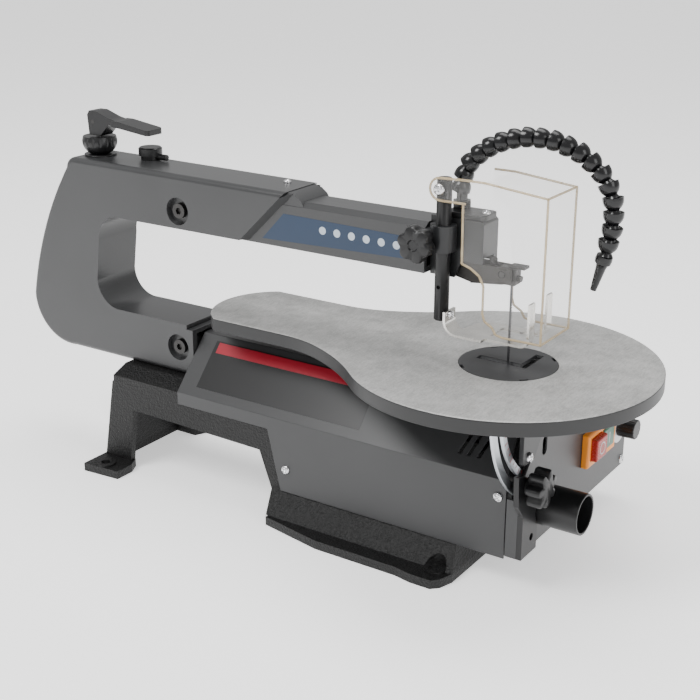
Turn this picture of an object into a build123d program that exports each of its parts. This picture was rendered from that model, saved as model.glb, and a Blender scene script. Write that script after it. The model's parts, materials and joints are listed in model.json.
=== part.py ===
from build123d import *
from math import cos, radians, sin
import os

os.makedirs("parts", exist_ok=True)

# Frame: +X towards the operator, +Y the motor side, +Z up, millimetres.
# Origin: centre of the four bench bolts, on the bench.
# Outlines are drawn from the blade line at table height; at_x and at_z place them.

# ---- driving dimensions ------------------------------------------------------------------
TABLE_Z = 170.0            # table top above the bench
BLADE_X = 205.0            # blade line ahead of the bolt centre
TABLE_R = 127.5            # table's round front
TABLE_CX = -6.6            # its centre, from the blade
TABLE_CY = 4.0             # table's centre line beside the blade
TABLE_BACK = 292.0         # blade to the table's rear tip
TAIL_HALF = 48.6           # half width of the table's tail
RIM_DEPTH = 12.0
RIM_WIDTH = 6.0
TABLE_SKIN = 5.0
INSERT_R = 39.8            # table insert, loose in its seat
INSERT_T = 3.0
INSERT_FIT = 0.2
TABLE_HOLE_R = 30.0
SLOT_W = 7.0               # blade slot in the insert
HALF_Y = 26.0              # half width of the frame
ARM_HALF_Y = 20.0          # half width of the slim front arm
WALL = 4.0                 # die-cast wall
RIM_ROUND = 5.0
UPPER_PIVOT = (-319.0, 85.0)
LOWER_PIVOT = (-325.0, -44.5)
PIVOT_R = 4.0              # pivot bolts
BUSH_R = 7.0
RECESS_R = 12.5            # recesses of the pivot bolts
RECESS_D = 6.0
ROCKER_HALF = 6.0          # half width of the rocking arms
UPPER_PIN = (-6.0, 74.0)   # blade clamp pins
LOWER_PIN = (-12.0, -47.0)
CLAMP_PIN_R = 2.5
FORK_IN = 5.2              # half width inside a blade fork
FORK_OUT = 7.5
RUN = 0.05                 # running clearance of a pin in its bore, on the radius
OPEN = 0.55                # extra clearance where a closed linkage is left open
GAP = 0.4                  # between separate moving bodies
ROD_X = -434.0             # tension rod
ROD_R = 3.0
ROD_PIN_R = 3.0
LEVER_PIN_Z = 151.0
BOLT_SPAN_X = 362.0        # bench bolts
BOLT_SPAN_Y = 136.0
BENCH_HOLE_R = 4.5
FLANGE_T = 8.0
COVER_Y = 52.0             # side covers' outer face
SHEET = 1.5
BASE_HALF = COVER_Y - SHEET
BASE_WALL = 6.0
PLATE_X = 42.0             # front plate's front face, from the blade
POST_X = -52.5             # hold-down post
POST_Y = -18.0
POST_R = 6.0
COLLAR_R = 10.5
TILT_R = 90.0              # tilt slot, about the tilt axis in the table's top
TILT_DEG = 56.0            # clamp bolt's place, down from level on the near side
TILT_BOLT_R = 3.0
TILT_KNOB_R = 16.0
OUTLET_R = 17.0            # dust outlet
OUTLET_T = 2.0
OUTLET_Y = -15.0
OUTLET_Z = -106.0
MOTOR_X = -60.0
MOTOR_Z = -85.0
CRANK_R = 5.8
CRANK_PIN_R = 4.0
SHAFT_R = 4.0
LINK_PIN = (-60.0, -49.0)  # connecting rod's pin in the lower arm
LINK_HALF = 3.0
BUTTON_TRAVEL = 3.0


def at_x(rel):
    """A place along the saw, counted from the blade line."""
    return BLADE_X + rel


def at_z(rel):
    """A height, counted from the table top."""
    return TABLE_Z + rel


def side(points):
    """Side-view points (x, z) counted from the blade at table height."""
    return [(at_x(x), at_z(z)) for x, z in points]


def side_face(points, y):
    """Side-view outline on the plane y; it extrudes towards -Y."""
    with BuildSketch(Plane.XZ.offset(-y), mode=Mode.PRIVATE) as face:
        with BuildLine():
            Polyline(*side(points), close=True)
        make_face()
    return face.sketch


def side_discs(centres, radius, y):
    """Discs in side view on the plane y; they extrude towards -Y."""
    with BuildSketch(Plane.XZ.offset(-y), mode=Mode.PRIVATE) as face:
        with Locations(*side(centres)):
            Circle(radius)
    return face.sketch


def front_face(points, x):
    """Front-view outline (y, z) on the plane x; it extrudes towards +X."""
    with BuildSketch(Plane.YZ.offset(at_x(x)), mode=Mode.PRIVATE) as face:
        with BuildLine():
            Polyline(*[(y, at_z(z)) for y, z in points], close=True)
        make_face()
    return face.sketch


def front_discs(centres, radius, x):
    """Discs in front view on the plane x; they extrude towards +X."""
    with BuildSketch(Plane.YZ.offset(at_x(x)), mode=Mode.PRIVATE) as face:
        with Locations(*[(y, at_z(z)) for y, z in centres]):
            Circle(radius)
    return face.sketch


def plan_face(points, z):
    """Plan-view outline (x, y) at the height z; it extrudes towards +Z."""
    with BuildSketch(Plane.XY.offset(at_z(z)), mode=Mode.PRIVATE) as face:
        with BuildLine():
            Polyline(*[(at_x(x), y) for x, y in points], close=True)
        make_face()
    return face.sketch


def plan_discs(centres, radius, z):
    """Discs in plan view at the height z; they extrude towards +Z."""
    with BuildSketch(Plane.XY.offset(at_z(z)), mode=Mode.PRIVATE) as face:
        with Locations(*[(at_x(x), y) for x, y in centres]):
            Circle(radius)
    return face.sketch


def box_points(low_a, high_a, low_b, high_b):
    """The four corners of a rectangle."""
    return [(low_a, low_b), (high_a, low_b), (high_a, high_b), (low_a, high_b)]


def mirrored(points):
    """The points, followed back by their mirror across the centre line."""
    return points + [(x, -y) for x, y in reversed(points)]


# ---- base casting ----------------------------------------------------------------------------
FLOOR = -TABLE_Z
FOOT_TOP = FLOOR + FLANGE_T
base_side = [(-388, -84), (-382, -77), (-14, -77), (-14, -144), (-8, FOOT_TOP), (-195, FOOT_TOP),
             (-214, -111), (-363, -108), (-370, FOOT_TOP), (-402, FOOT_TOP)]
rear_hollow = [(-381, -84), (-210, -84), (-214, -111), (-214, -172), (-395, -172)]
front_hollow = [(-200, -60), (-20, -60), (-20, -142), (-14, -172), (-181, -172), (-200, -111)]
inner_half = BASE_HALF - BASE_WALL
front_foot = [(-193, 71), (-132, 83), (-53, 83), (-37, 86), (-18, 86), (-12, 80), (-8, 67)]
bench_holes = [(-386, 68), (-386, -68), (-24, 68), (-24, -68)]

with BuildPart() as base:
    extrude(side_face(base_side, BASE_HALF), amount=2 * BASE_HALF)
    extrude(side_face(rear_hollow, inner_half), amount=2 * inner_half, mode=Mode.SUBTRACT)
    # deck under the frame, with sloping shoulders
    deck = [(-BASE_HALF, -77), (-33, -70), (33, -70), (BASE_HALF, -77), (BASE_HALF, -84), (-BASE_HALF, -84)]
    extrude(front_face(deck, -386), amount=181)
    # skirt spreading to the front foot
    with BuildSketch(Plane.XY.offset(at_z(-144))):
        with Locations((at_x(-107.5), 0)):
            Rectangle(187, 2 * BASE_HALF)
    with BuildSketch(Plane.XY.offset(at_z(FOOT_TOP))):
        with Locations((at_x(-101.5), 0)):
            Rectangle(187, 136)
    loft()
    extrude(side_face(front_hollow, inner_half), amount=2 * inner_half, mode=Mode.SUBTRACT)
    # foot flanges
    extrude(plan_face(mirrored(front_foot), FLOOR), amount=FLANGE_T)
    extrude(plan_face(box_points(-181, -16, -inner_half, inner_half), FLOOR), amount=FLANGE_T,
            mode=Mode.SUBTRACT)
    for flip in (1, -1):
        ear = [(-404, 79), (-364, 76), (-364, 56), (-370, 44), (-404, 44)]
        extrude(plan_face([(x, flip * y) for x, y in ear], FLOOR), amount=FLANGE_T)
        # brackets that carry the front plate
        bracket = [(-15, -141), (40.5, -141), (40.5, -102), (33, -102), (33, -84), (-15, -84)]
        extrude(side_face(bracket, BASE_HALF if flip > 0 else -inner_half), amount=BASE_WALL)
    extrude(plan_face(box_points(-404, -394, -45, 45), FLOOR), amount=FLANGE_T)
    # shelf of the air bellows
    extrude(side_face(box_points(-176, -128, -108, -100), inner_half), amount=2 * inner_half)
    # far wall opened for the motor shaft
    extrude(side_face(box_points(-74, -46, -99, -70), BASE_HALF), amount=BASE_WALL, mode=Mode.SUBTRACT)
    # bench bolt bosses
    extrude(plan_discs(bench_holes, 9.5, FOOT_TOP), amount=22, mode=Mode.SUBTRACT)
    extrude(plan_discs(bench_holes, 9.4, FOOT_TOP), amount=1.5)
    extrude(plan_discs(bench_holes, BENCH_HOLE_R, FLOOR), amount=FLANGE_T + 2, mode=Mode.SUBTRACT)
base.part.label = "base_casting"
export_step(base.part, "parts/base_casting.step")

# ---- C frame: two die-cast halves that meet at y = 0 --------------------------------------------


def c_outline(inset, diagonal):
    """Side view of the frame's C, moved in by the inset; diagonal ends the wide section."""
    d = inset
    with BuildSketch(Plane.XZ, mode=Mode.PRIVATE) as face:
        with BuildLine():
            Line(*side([(diagonal[0][0], diagonal[0][1]), (-446, 119 - d)]))
            ThreePointArc(*side([(-446, 119 - d), (-452.5 + 0.7 * d, 116 - d), (-456 + d, 109)]))
            ThreePointArc(*side([(-456 + d, 109), (-497 + d, 32), (-513 + d, -24)]))
            ThreePointArc(*side([(-513 + d, -24), (-496 + 0.7 * d, -60 + 0.7 * d), (-460, -70 + d)]))
            jaw = -307 - d
            Polyline(*side([(-460, -70 + d), (jaw, -70 + d), (jaw, -25 - d), (-314 - d, -25 - d),
                            (-314 - d, -21 - d), (-395, -21 - d)]))
            ThreePointArc(*side([(-395, -21 - d), (-416 - 0.7 * d, -13 - 0.7 * d), (-423 - d, 5)]))
            Line(*side([(-423 - d, 5), (-418 - d, 42)]))
            ThreePointArc(*side([(-418 - d, 42), (-412 - 0.7 * d, 60 + 0.7 * d), (-395, 69 + d)]))
            Polyline(*side([(-395, 69 + d), (diagonal[1][0], diagonal[1][1]), (diagonal[0][0], diagonal[0][1])]))
        make_face()
    return face.sketch


outer_c = c_outline(0, [(-201, 117), (-250, 69)])
inner_c = c_outline(WALL, [(-211, 113), (-254, 73)])
ROD_HOLE_R = ROD_R + 2.5
SEAT_R = 15.0
SEAT_Z = 116.5


def frame_half(flip):
    """One half of the frame; flip is -1 for the near half, 1 for the motor side."""
    with BuildPart() as half:
        extrude(outer_c, amount=-flip * HALF_Y)
        rim = half.faces().sort_by(Axis.Y)[0 if flip < 0 else -1].edges()
        outside = rim.filter_by(lambda e: e.center().X < at_x(-430) or abs(e.center().Z - at_z(15)) > 80)
        fillet(outside, radius=RIM_ROUND)
        # slim front arm with bevelled top edge
        extrude(front_face([(0, 68), (flip * ARM_HALF_Y, 68), (flip * ARM_HALF_Y, 105), (flip * 14, 109),
                            (0, 109)], -250), amount=182)
        # shoulder: the crest runs down to the arm, and a facet joins the two side faces
        extrude(side_face([(-230, 100), (-230, 117), (-203, 117), (-194, 114.5), (-188, 110), (-185, 104),
                           (-185, 100)], 0), amount=-flip * (ARM_HALF_Y - 0.4))
        wide = side_face([(-209, 112), (-205.8, 112), (-249.2, 69.5), (-252.4, 69.5)], flip * HALF_Y)
        slim = side_face([(-209, 116), (-195, 116), (-242.4, 69.5), (-252.4, 69.5)], flip * (ARM_HALF_Y - 0.4))
        loft([wide, slim], ruled=True)
        extrude(inner_c, amount=-flip * (HALF_Y - WALL), mode=Mode.SUBTRACT)
        extrude(front_face([(0, 73), (flip * 16, 73), (flip * 16, 103), (0, 103)], -262), amount=200,
                mode=Mode.SUBTRACT)
        # the lower arm leaves through the jaw's front
        extrude(front_face([(0, -66), (flip * 20, -66), (flip * 20, -29), (0, -29)], -315), amount=20,
                mode=Mode.SUBTRACT)
        boss_in = ROCKER_HALF + 1.4
        for pivot in (UPPER_PIVOT, LOWER_PIVOT):
            extrude(side_discs([pivot], RECESS_R + 2, flip * boss_in),
                    amount=-flip * (HALF_Y - 2 - boss_in))
            extrude(side_discs([pivot], RECESS_R, flip * (HALF_Y - RECESS_D)), amount=-flip * (RECESS_D + 1),
                    mode=Mode.SUBTRACT)
            extrude(side_discs([pivot], PIVOT_R, 0), amount=-flip * HALF_Y, mode=Mode.SUBTRACT)
        # tension knob's seat and the rod's hole
        extrude(plan_discs([(ROD_X, 0)], SEAT_R, SEAT_Z), amount=20, mode=Mode.SUBTRACT)
        extrude(plan_discs([(ROD_X, 0)], ROD_HOLE_R, 100), amount=30, mode=Mode.SUBTRACT)
    return half


frame_near = frame_half(-1)
frame_near.part.label = "frame_half_near"
export_step(frame_near.part, "parts/frame_half_near.step")
frame_far = frame_half(1)
frame_far.part.label = "frame_half_far"
export_step(frame_far.part, "parts/frame_half_far.step")

# ---- pivot bolts: heads in the near recesses, nuts in the far ones ---------------------------------
floor_y = HALF_Y - RECESS_D
with BuildPart() as pivot_bolts:
    for pivot in (UPPER_PIVOT, LOWER_PIVOT):
        extrude(side_discs([pivot], PIVOT_R, floor_y), amount=2 * floor_y)
        extrude(side_discs([pivot], 6.8, -floor_y), amount=4.5)
        with BuildSketch(Plane.XZ.offset(floor_y + 2)):
            with Locations(*side([pivot])):
                RegularPolygon(radius=3.3, side_count=6)
        extrude(amount=3, mode=Mode.SUBTRACT)
        with BuildSketch(Plane.XZ.offset(-floor_y - 5)):
            with Locations(*side([pivot])):
                RegularPolygon(radius=7.5, side_count=6)
        extrude(amount=5)
pivot_bolts.part.label = "pivot_bolts"
export_step(pivot_bolts.part, "parts/pivot_bolts.step")


def bush(pivot):
    """Plain bush of a rocking arm, running on its pivot bolt."""
    with BuildPart() as sleeve:
        extrude(side_discs([pivot], BUSH_R, ROCKER_HALF + 1), amount=2 * ROCKER_HALF + 2)
        extrude(side_discs([pivot], PIVOT_R + RUN, ROCKER_HALF + 1), amount=2 * ROCKER_HALF + 2,
                mode=Mode.SUBTRACT)
    return sleeve


upper_bush = bush(UPPER_PIVOT)
upper_bush.part.label = "upper_arm_bush"
export_step(upper_bush.part, "parts/upper_arm_bush.step")
lower_bush = bush(LOWER_PIVOT)
lower_bush.part.label = "lower_arm_bush"
export_step(lower_bush.part, "parts/lower_arm_bush.step")

# ---- rocking arms ------------------------------------------------------------------------------------
rocker = 2 * ROCKER_HALF
fork = 2 * FORK_OUT
with BuildPart() as upper_arm:
    bar = [(-446, 78), (-446, 92), (-330, 97), (-300, 97), (-68, 97), (-56, 95), (-46, 80), (-33, 80),
           (-33, 63), (-52, 67), (-68, 85), (-300, 77), (-330, 73)]
    extrude(side_face(bar, ROCKER_HALF), amount=rocker)
    extrude(side_face([(-33, 63), (-5, 66), (3, 69), (3, 79.5), (-33, 80)], FORK_OUT), amount=fork)
    extrude(side_discs([UPPER_PIVOT], 12, ROCKER_HALF), amount=rocker)
    extrude(side_discs([UPPER_PIVOT], BUSH_R, ROCKER_HALF), amount=rocker, mode=Mode.SUBTRACT)
    extrude(side_face(box_points(-14, 10, 60, 90), FORK_IN), amount=2 * FORK_IN, mode=Mode.SUBTRACT)
    extrude(side_discs([UPPER_PIN], CLAMP_PIN_R + OPEN, FORK_OUT), amount=fork, mode=Mode.SUBTRACT)
    extrude(side_face(box_points(-450, -425, 70, 100), 4.6), amount=9.2, mode=Mode.SUBTRACT)
    extrude(side_discs([(ROD_X, 85)], ROD_PIN_R + OPEN, ROCKER_HALF), amount=rocker, mode=Mode.SUBTRACT)
upper_arm.part.label = "upper_arm"
export_step(upper_arm.part, "parts/upper_arm.step")

with BuildPart() as lower_arm:
    bar = [(-446, -52), (-446, -38), (-330, -33), (-300, -33), (-60, -41), (-30, -41), (-30, -56), (-60, -57),
           (-300, -57), (-330, -57)]
    extrude(side_face(bar, ROCKER_HALF), amount=rocker)
    extrude(side_face([(-30, -41), (4, -42), (4, -55), (-30, -56)], FORK_OUT), amount=fork)
    extrude(side_discs([LOWER_PIVOT], 12, ROCKER_HALF), amount=rocker)
    extrude(side_discs([LOWER_PIVOT], BUSH_R, ROCKER_HALF), amount=rocker, mode=Mode.SUBTRACT)
    extrude(side_face(box_points(-21, 10, -70, -30), FORK_IN), amount=2 * FORK_IN, mode=Mode.SUBTRACT)
    extrude(side_discs([LOWER_PIN], CLAMP_PIN_R + RUN, FORK_OUT), amount=fork, mode=Mode.SUBTRACT)
    extrude(side_face(box_points(-450, -425, -62, -30), 4.6), amount=9.2, mode=Mode.SUBTRACT)
    extrude(side_discs([(ROD_X, -44.5)], ROD_PIN_R + RUN, ROCKER_HALF), amount=rocker, mode=Mode.SUBTRACT)
    # fork for the connecting rod
    extrude(side_face(box_points(-68, -52, -70, -30), LINK_HALF + GAP), amount=2 * (LINK_HALF + GAP),
            mode=Mode.SUBTRACT)
    extrude(side_discs([LINK_PIN], ROD_PIN_R + RUN, ROCKER_HALF), amount=rocker, mode=Mode.SUBTRACT)
lower_arm.part.label = "lower_arm"
export_step(lower_arm.part, "parts/lower_arm.step")

with BuildPart() as tip_stud:
    extrude(plan_discs([(-17, 0)], 3.3, 79.8), amount=4.8)
    chamfer(tip_stud.faces().sort_by(Axis.Z)[-1].edges(), length=0.7)
tip_stud.part.label = "arm_tip_stud"
export_step(tip_stud.part, "parts/arm_tip_stud.step")

# ---- blade and its pivoting clamps ---------------------------------------------------------------------
BLADE_W = 2.5
BLADE_T = 0.5
BLADE_LOW = -50.0
BLADE_TOP = 79.0
clamp_half = FORK_IN - GAP


def blade_clamp(pin, low, high):
    """Clamp block on its cross pin, slit for the blade."""
    with BuildPart() as clamp:
        extrude(side_face(box_points(pin[0] - 5, 5, low, high), clamp_half), amount=2 * clamp_half)
        chamfer(clamp.edges().filter_by(Axis.Y), length=1)
        extrude(side_discs([pin], CLAMP_PIN_R, FORK_OUT), amount=fork)
        extrude(side_face(box_points(-BLADE_W / 2, 8, low - 1, high + 1), BLADE_T / 2), amount=BLADE_T,
                mode=Mode.SUBTRACT)
    return clamp


upper_clamp = blade_clamp(UPPER_PIN, 65.6, 79.5)
upper_clamp.part.label = "upper_blade_clamp"
export_step(upper_clamp.part, "parts/upper_blade_clamp.step")
lower_clamp = blade_clamp(LOWER_PIN, -54, -40)
lower_clamp.part.label = "lower_blade_clamp"
export_step(lower_clamp.part, "parts/lower_blade_clamp.step")

with BuildPart() as blade:
    extrude(side_face(box_points(-BLADE_W / 2, BLADE_W / 2, BLADE_LOW, BLADE_TOP), BLADE_T / 2),
            amount=BLADE_T)
blade.part.label = "blade"
export_step(blade.part, "parts/blade.step")

with BuildPart() as clamp_screws:
    # front screws of both clamps, and the thumb tab on the upper one
    extrude(front_discs([(0, -47), (0, 71)], 2.4, 5), amount=3)
    extrude(plan_face(box_points(-1, 12, -4.5, 4.5), 79.5), amount=2.2)
clamp_screws.part.label = "clamp_screws"
export_step(clamp_screws.part, "parts/clamp_screws.step")

# ---- tension rod, knob and cam lever ----------------------------------------------------------------------
KNOB_LOW = 120.8
KNOB_TOP = 137.0
KNOB_R = 16.4
with BuildPart() as tension_rod:
    extrude(plan_discs([(ROD_X, 0)], ROD_R, -50), amount=LEVER_PIN_Z + 46)
    for height in (85, -44.5):
        extrude(side_face(box_points(ROD_X - 4, ROD_X + 4, height - 5, height + 5), 4.2), amount=8.4)
        extrude(side_discs([(ROD_X, height)], ROD_PIN_R, ROCKER_HALF), amount=rocker)
    extrude(side_discs([(ROD_X, LEVER_PIN_Z)], 5, 3.4), amount=6.8)
    extrude(side_discs([(ROD_X, LEVER_PIN_Z)], 2, 3.4), amount=6.8, mode=Mode.SUBTRACT)
tension_rod.part.label = "tension_rod"
export_step(tension_rod.part, "parts/tension_rod.step")

with BuildPart() as lever_pin:
    extrude(side_discs([(ROD_X, LEVER_PIN_Z)], 2, 8), amount=16)
lever_pin.part.label = "lever_pin"
export_step(lever_pin.part, "parts/lever_pin.step")

with BuildPart() as tension_knob:
    with BuildSketch(Plane.XZ):
        with BuildLine():
            bore = at_x(ROD_X) + ROD_R + RUN
            Polyline((bore, at_z(KNOB_TOP)), (bore, at_z(KNOB_LOW)), (at_x(ROD_X) + 9, at_z(KNOB_LOW)))
            ThreePointArc((at_x(ROD_X) + 9, at_z(KNOB_LOW)), (at_x(ROD_X) + 14.2, at_z(KNOB_LOW + 4.5)),
                          (at_x(ROD_X) + KNOB_R, at_z(KNOB_LOW + 12)))
            Polyline((at_x(ROD_X) + KNOB_R, at_z(KNOB_LOW + 12)), (at_x(ROD_X) + KNOB_R - 1, at_z(KNOB_TOP)),
                     (bore, at_z(KNOB_TOP)))
        make_face()
    revolve(axis=Axis((at_x(ROD_X), 0, 0), (0, 0, 1)))
    with BuildSketch(Plane.XY.offset(at_z(KNOB_LOW + 3))):
        with Locations((at_x(ROD_X), 0)):
            with PolarLocations(KNOB_R + 1.2, 16):
                Circle(2.0)
    extrude(amount=20, mode=Mode.SUBTRACT)
tension_knob.part.label = "tension_knob"
export_step(tension_knob.part, "parts/tension_knob.step")

with BuildPart() as knob_seat:
    extrude(plan_discs([(ROD_X, 0)], SEAT_R, SEAT_Z), amount=KNOB_LOW - GAP - SEAT_Z)
    extrude(plan_discs([(ROD_X, 0)], ROD_HOLE_R, SEAT_Z), amount=KNOB_LOW - GAP - SEAT_Z, mode=Mode.SUBTRACT)
knob_seat.part.label = "knob_seat"
export_step(knob_seat.part, "parts/knob_seat.step")

with BuildPart() as tension_lever:
    cam = [(-5, -12.5), (9, -12.5), (20, -1), (28, -2), (28, 3.5), (20, 5), (5, 10), (-4, 10), (-6.5, 6)]
    extrude(side_face([(ROD_X + x, LEVER_PIN_Z + z) for x, z in cam], 8), amount=16)
    paddle = [(26, -2), (34, -2.5), (70, -6.5), (70, -1.5), (34, 3.5), (26, 3.5)]
    extrude(side_face([(ROD_X + x, LEVER_PIN_Z + z) for x, z in paddle], 11), amount=22)
    fillet(tension_lever.edges().filter_by(Axis.Z, tolerance=20).group_by(Axis.X)[-1], radius=4)
    # room for the rod's head and the running bore of the pin
    extrude(side_face(box_points(ROD_X - 12, ROD_X + 6, 137, 158), 3.4 + GAP), amount=2 * (3.4 + GAP),
            mode=Mode.SUBTRACT)
    extrude(side_discs([(ROD_X, LEVER_PIN_Z)], 2 + RUN, 8), amount=16, mode=Mode.SUBTRACT)
tension_lever.part.label = "tension_lever"
export_step(tension_lever.part, "parts/tension_lever.step")

# ---- cap and screws on top ------------------------------------------------------------------------------------
CAP_Z = 118.6
with BuildPart() as frame_cap:
    extrude(plan_discs([(-382, 12)], 9, CAP_Z), amount=4)
    extrude(plan_discs([(-382, 12)], 11, CAP_Z + 4), amount=7.5)
    chamfer(frame_cap.faces().sort_by(Axis.Z)[-1].edges(), length=1.2)
    extrude(front_discs([(12, CAP_Z + 3.2)], 2.8, -378), amount=16)
frame_cap.part.label = "frame_cap"
export_step(frame_cap.part, "parts/frame_cap.step")

# ---- arm nose with the post's collar and clamp ears ---------------------------------------------------------------
NOSE_NEAR = -10.5
NOSE_FAR = 14.0
NOSE_X = -21.0
KNOB_X = -64.0
CLAMP_Z = 97.0
COLLAR_LOW = 89.0
with BuildPart() as nose:
    nose_side = [(-68, 66), (-46, 66), (-40, 80), (NOSE_X, 80), (NOSE_X, 112), (-23, 114), (-68, 114)]
    extrude(side_face(nose_side, NOSE_FAR), amount=NOSE_FAR - NOSE_NEAR)
    extrude(plan_discs([(POST_X, POST_Y)], COLLAR_R, COLLAR_LOW), amount=21)
    extrude(plan_face(box_points(-67.5, -57, -31, -10), COLLAR_LOW), amount=16)
    extrude(side_face([(-70, 60), (-18, 60), (-18, 85), (-42, 85), (-50, 101), (-70, 101)], 8), amount=16,
            mode=Mode.SUBTRACT)
    extrude(plan_discs([(POST_X, POST_Y)], POST_R + RUN, 60), amount=60, mode=Mode.SUBTRACT)
    # the clamp's slit and the knob stem's bore
    extrude(side_face(box_points(-70, POST_X, 85, 112), -23.4), amount=1.2, mode=Mode.SUBTRACT)
    extrude(side_discs([(KNOB_X, CLAMP_Z)], 2.5 + RUN, -12.5), amount=20, mode=Mode.SUBTRACT)
nose.part.label = "arm_nose"
export_step(nose.part, "parts/arm_nose.step")

HOSE_X = -51.0
HOSE_Y = 8.0
with BuildPart() as hose_plate:
    with BuildSketch(Plane.XY.offset(at_z(114))):
        with Locations((at_x(-39), 2)):
            RectangleRounded(36, 23, 5)
    extrude(amount=4.5)
hose_plate.part.label = "hose_mount_plate"
export_step(hose_plate.part, "parts/hose_mount_plate.step")

with BuildPart() as top_screws:
    extrude(plan_discs([(-25, 0)], 3.4, 118.5), amount=2.2)
    extrude(plan_discs([(-222, 8)], 3.4, 117.4), amount=2.2)
top_screws.part.label = "top_screws"
export_step(top_screws.part, "parts/top_screws.step")

with BuildPart() as hose_fitting:
    with BuildSketch(Plane.XY.offset(at_z(118.5))):
        with Locations((at_x(HOSE_X), HOSE_Y)):
            RegularPolygon(radius=8, side_count=6)
    extrude(amount=6)
    extrude(plan_discs([(HOSE_X, HOSE_Y)], 4.5, 124.5), amount=7.5)
hose_fitting.part.label = "hose_fitting"
export_step(hose_fitting.part, "parts/hose_fitting.step")

# ---- jointed air hose -----------------------------------------------------------------------------------------------
LINK_R = 8.0
LINK_COUNT = 19
hose_points = [(-51, 138), (-47, 151), (-35, 164), (-12, 176), (13, 180), (37, 176), (58, 165), (72, 148), (76, 127),
               (73, 104)]
hose_run = Spline(*[(at_x(x), HOSE_Y, at_z(z)) for x, z in hose_points], mode=Mode.PRIVATE)
with BuildPart() as hose_links:
    for i in range(LINK_COUNT):
        here = hose_run @ ((i + 0.5) / LINK_COUNT)
        along = hose_run % ((i + 0.5) / LINK_COUNT)
        with BuildSketch(Plane(origin=here, z_dir=along).offset(-6.4)):
            Circle(LINK_R - 2.6)
        with BuildSketch(Plane(origin=here, z_dir=along).offset(5.4)):
            Circle(LINK_R)
        loft()
    # socket that turns on the fitting
    extrude(plan_discs([(HOSE_X, HOSE_Y)], LINK_R - 1, 125), amount=14)
    extrude(plan_discs([(HOSE_X, HOSE_Y)], 4.5 + RUN, 125), amount=7, mode=Mode.SUBTRACT)
hose_links.part.label = "hose_links"
export_step(hose_links.part, "parts/hose_links.step")

nozzle_dir = Vector(-5, 0, -24)
with BuildPart() as nozzle:
    with BuildSketch(Plane(origin=hose_run @ 1, z_dir=hose_run % 1).offset(5)):
        Circle(6.4)
    with BuildSketch(Plane(origin=(at_x(64), HOSE_Y, at_z(70)), z_dir=nozzle_dir)):
        Circle(2.4)
    loft()
nozzle.part.label = "hose_nozzle"
export_step(nozzle.part, "parts/hose_nozzle.step")

# ---- hold-down post, clamp knob, foot and guard -----------------------------------------------------------------------
SCREW_Z = 139.0
SCREW_R = 1.6
with BuildPart() as post:
    extrude(plan_discs([(POST_X, POST_Y)], POST_R, 32), amount=115)
    chamfer(post.edges().filter_by(GeomType.CIRCLE), length=0.8)
    extrude(side_discs([(POST_X, 60), (POST_X, SCREW_Z)], SCREW_R, POST_Y + 8), amount=16, mode=Mode.SUBTRACT)
post.part.label = "holddown_post"
export_step(post.part, "parts/holddown_post.step")

with BuildPart() as post_knob:
    extrude(side_discs([(KNOB_X, CLAMP_Z)], 2.5, -13), amount=24)
    extrude(side_discs([(KNOB_X, CLAMP_Z)], 8, -31 - GAP), amount=4)
    with BuildSketch(Plane.XZ.offset(34)):
        with Locations(*side([(KNOB_X, CLAMP_Z)])):
            Circle(15)
            with PolarLocations(18.6, 6):
                Circle(6.2, mode=Mode.SUBTRACT)
    extrude(amount=12)
post_knob.part.label = "post_clamp_knob"
export_step(post_knob.part, "parts/post_clamp_knob.step")

FOOT_T = 2.0
TAB_X = POST_X + POST_R
with BuildPart() as foot:
    with BuildSketch(Plane.XZ.offset(26)):
        with BuildLine():
            Polyline(*side([(TAB_X, 41), (TAB_X, 34)]))
            ThreePointArc(*side([(TAB_X, 34), (TAB_X + 3.5, 25.5), (TAB_X + 12, 22)]))
            Polyline(*side([(TAB_X + 12, 22), (-12, 22), (-12, 24), (TAB_X + 12, 24)]))
            ThreePointArc(*side([(TAB_X + 12, 24), (TAB_X + 4.9, 26.9), (TAB_X + FOOT_T, 34)]))
            Polyline(*side([(TAB_X + FOOT_T, 34), (TAB_X + FOOT_T, 41), (TAB_X, 41)]))
        make_face()
    extrude(amount=-17)
    extrude(plan_face([(-38, -24), (-30, -20), (-12, -20), (-12, 20), (-26, 20), (-34, 12), (-38, -9)], 22),
            amount=FOOT_T)
    for low, high in ((-20, -11), (11, 20)):
        extrude(plan_face(box_points(-14, 19, low, high), 22), amount=FOOT_T)
        extrude(front_face(box_points(low, high, 29, 58), 24), amount=FOOT_T)
        with BuildSketch(Plane.XZ.offset(-high)):
            with BuildLine():
                ThreePointArc(*side([(18, 22), (23.7, 24.3), (26, 30)]))
                Line(*side([(26, 30), (24, 30)]))
                ThreePointArc(*side([(24, 30), (22.3, 25.7), (18, 24)]))
                Line(*side([(18, 24), (18, 22)]))
            make_face()
        extrude(amount=high - low)
    extrude(front_discs([(POST_Y, 37)], SCREW_R + RUN, TAB_X), amount=FOOT_T, mode=Mode.SUBTRACT)
foot.part.label = "holddown_foot"
export_step(foot.part, "parts/holddown_foot.step")

with BuildPart() as foot_screw:
    extrude(front_discs([(POST_Y, 37)], 3.6, TAB_X + FOOT_T + 0.3), amount=2.4)
    extrude(front_discs([(POST_Y, 37)], SCREW_R, TAB_X), amount=FOOT_T + 0.5)
foot_screw.part.label = "foot_screw"
export_step(foot_screw.part, "parts/foot_screw.step")

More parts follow.
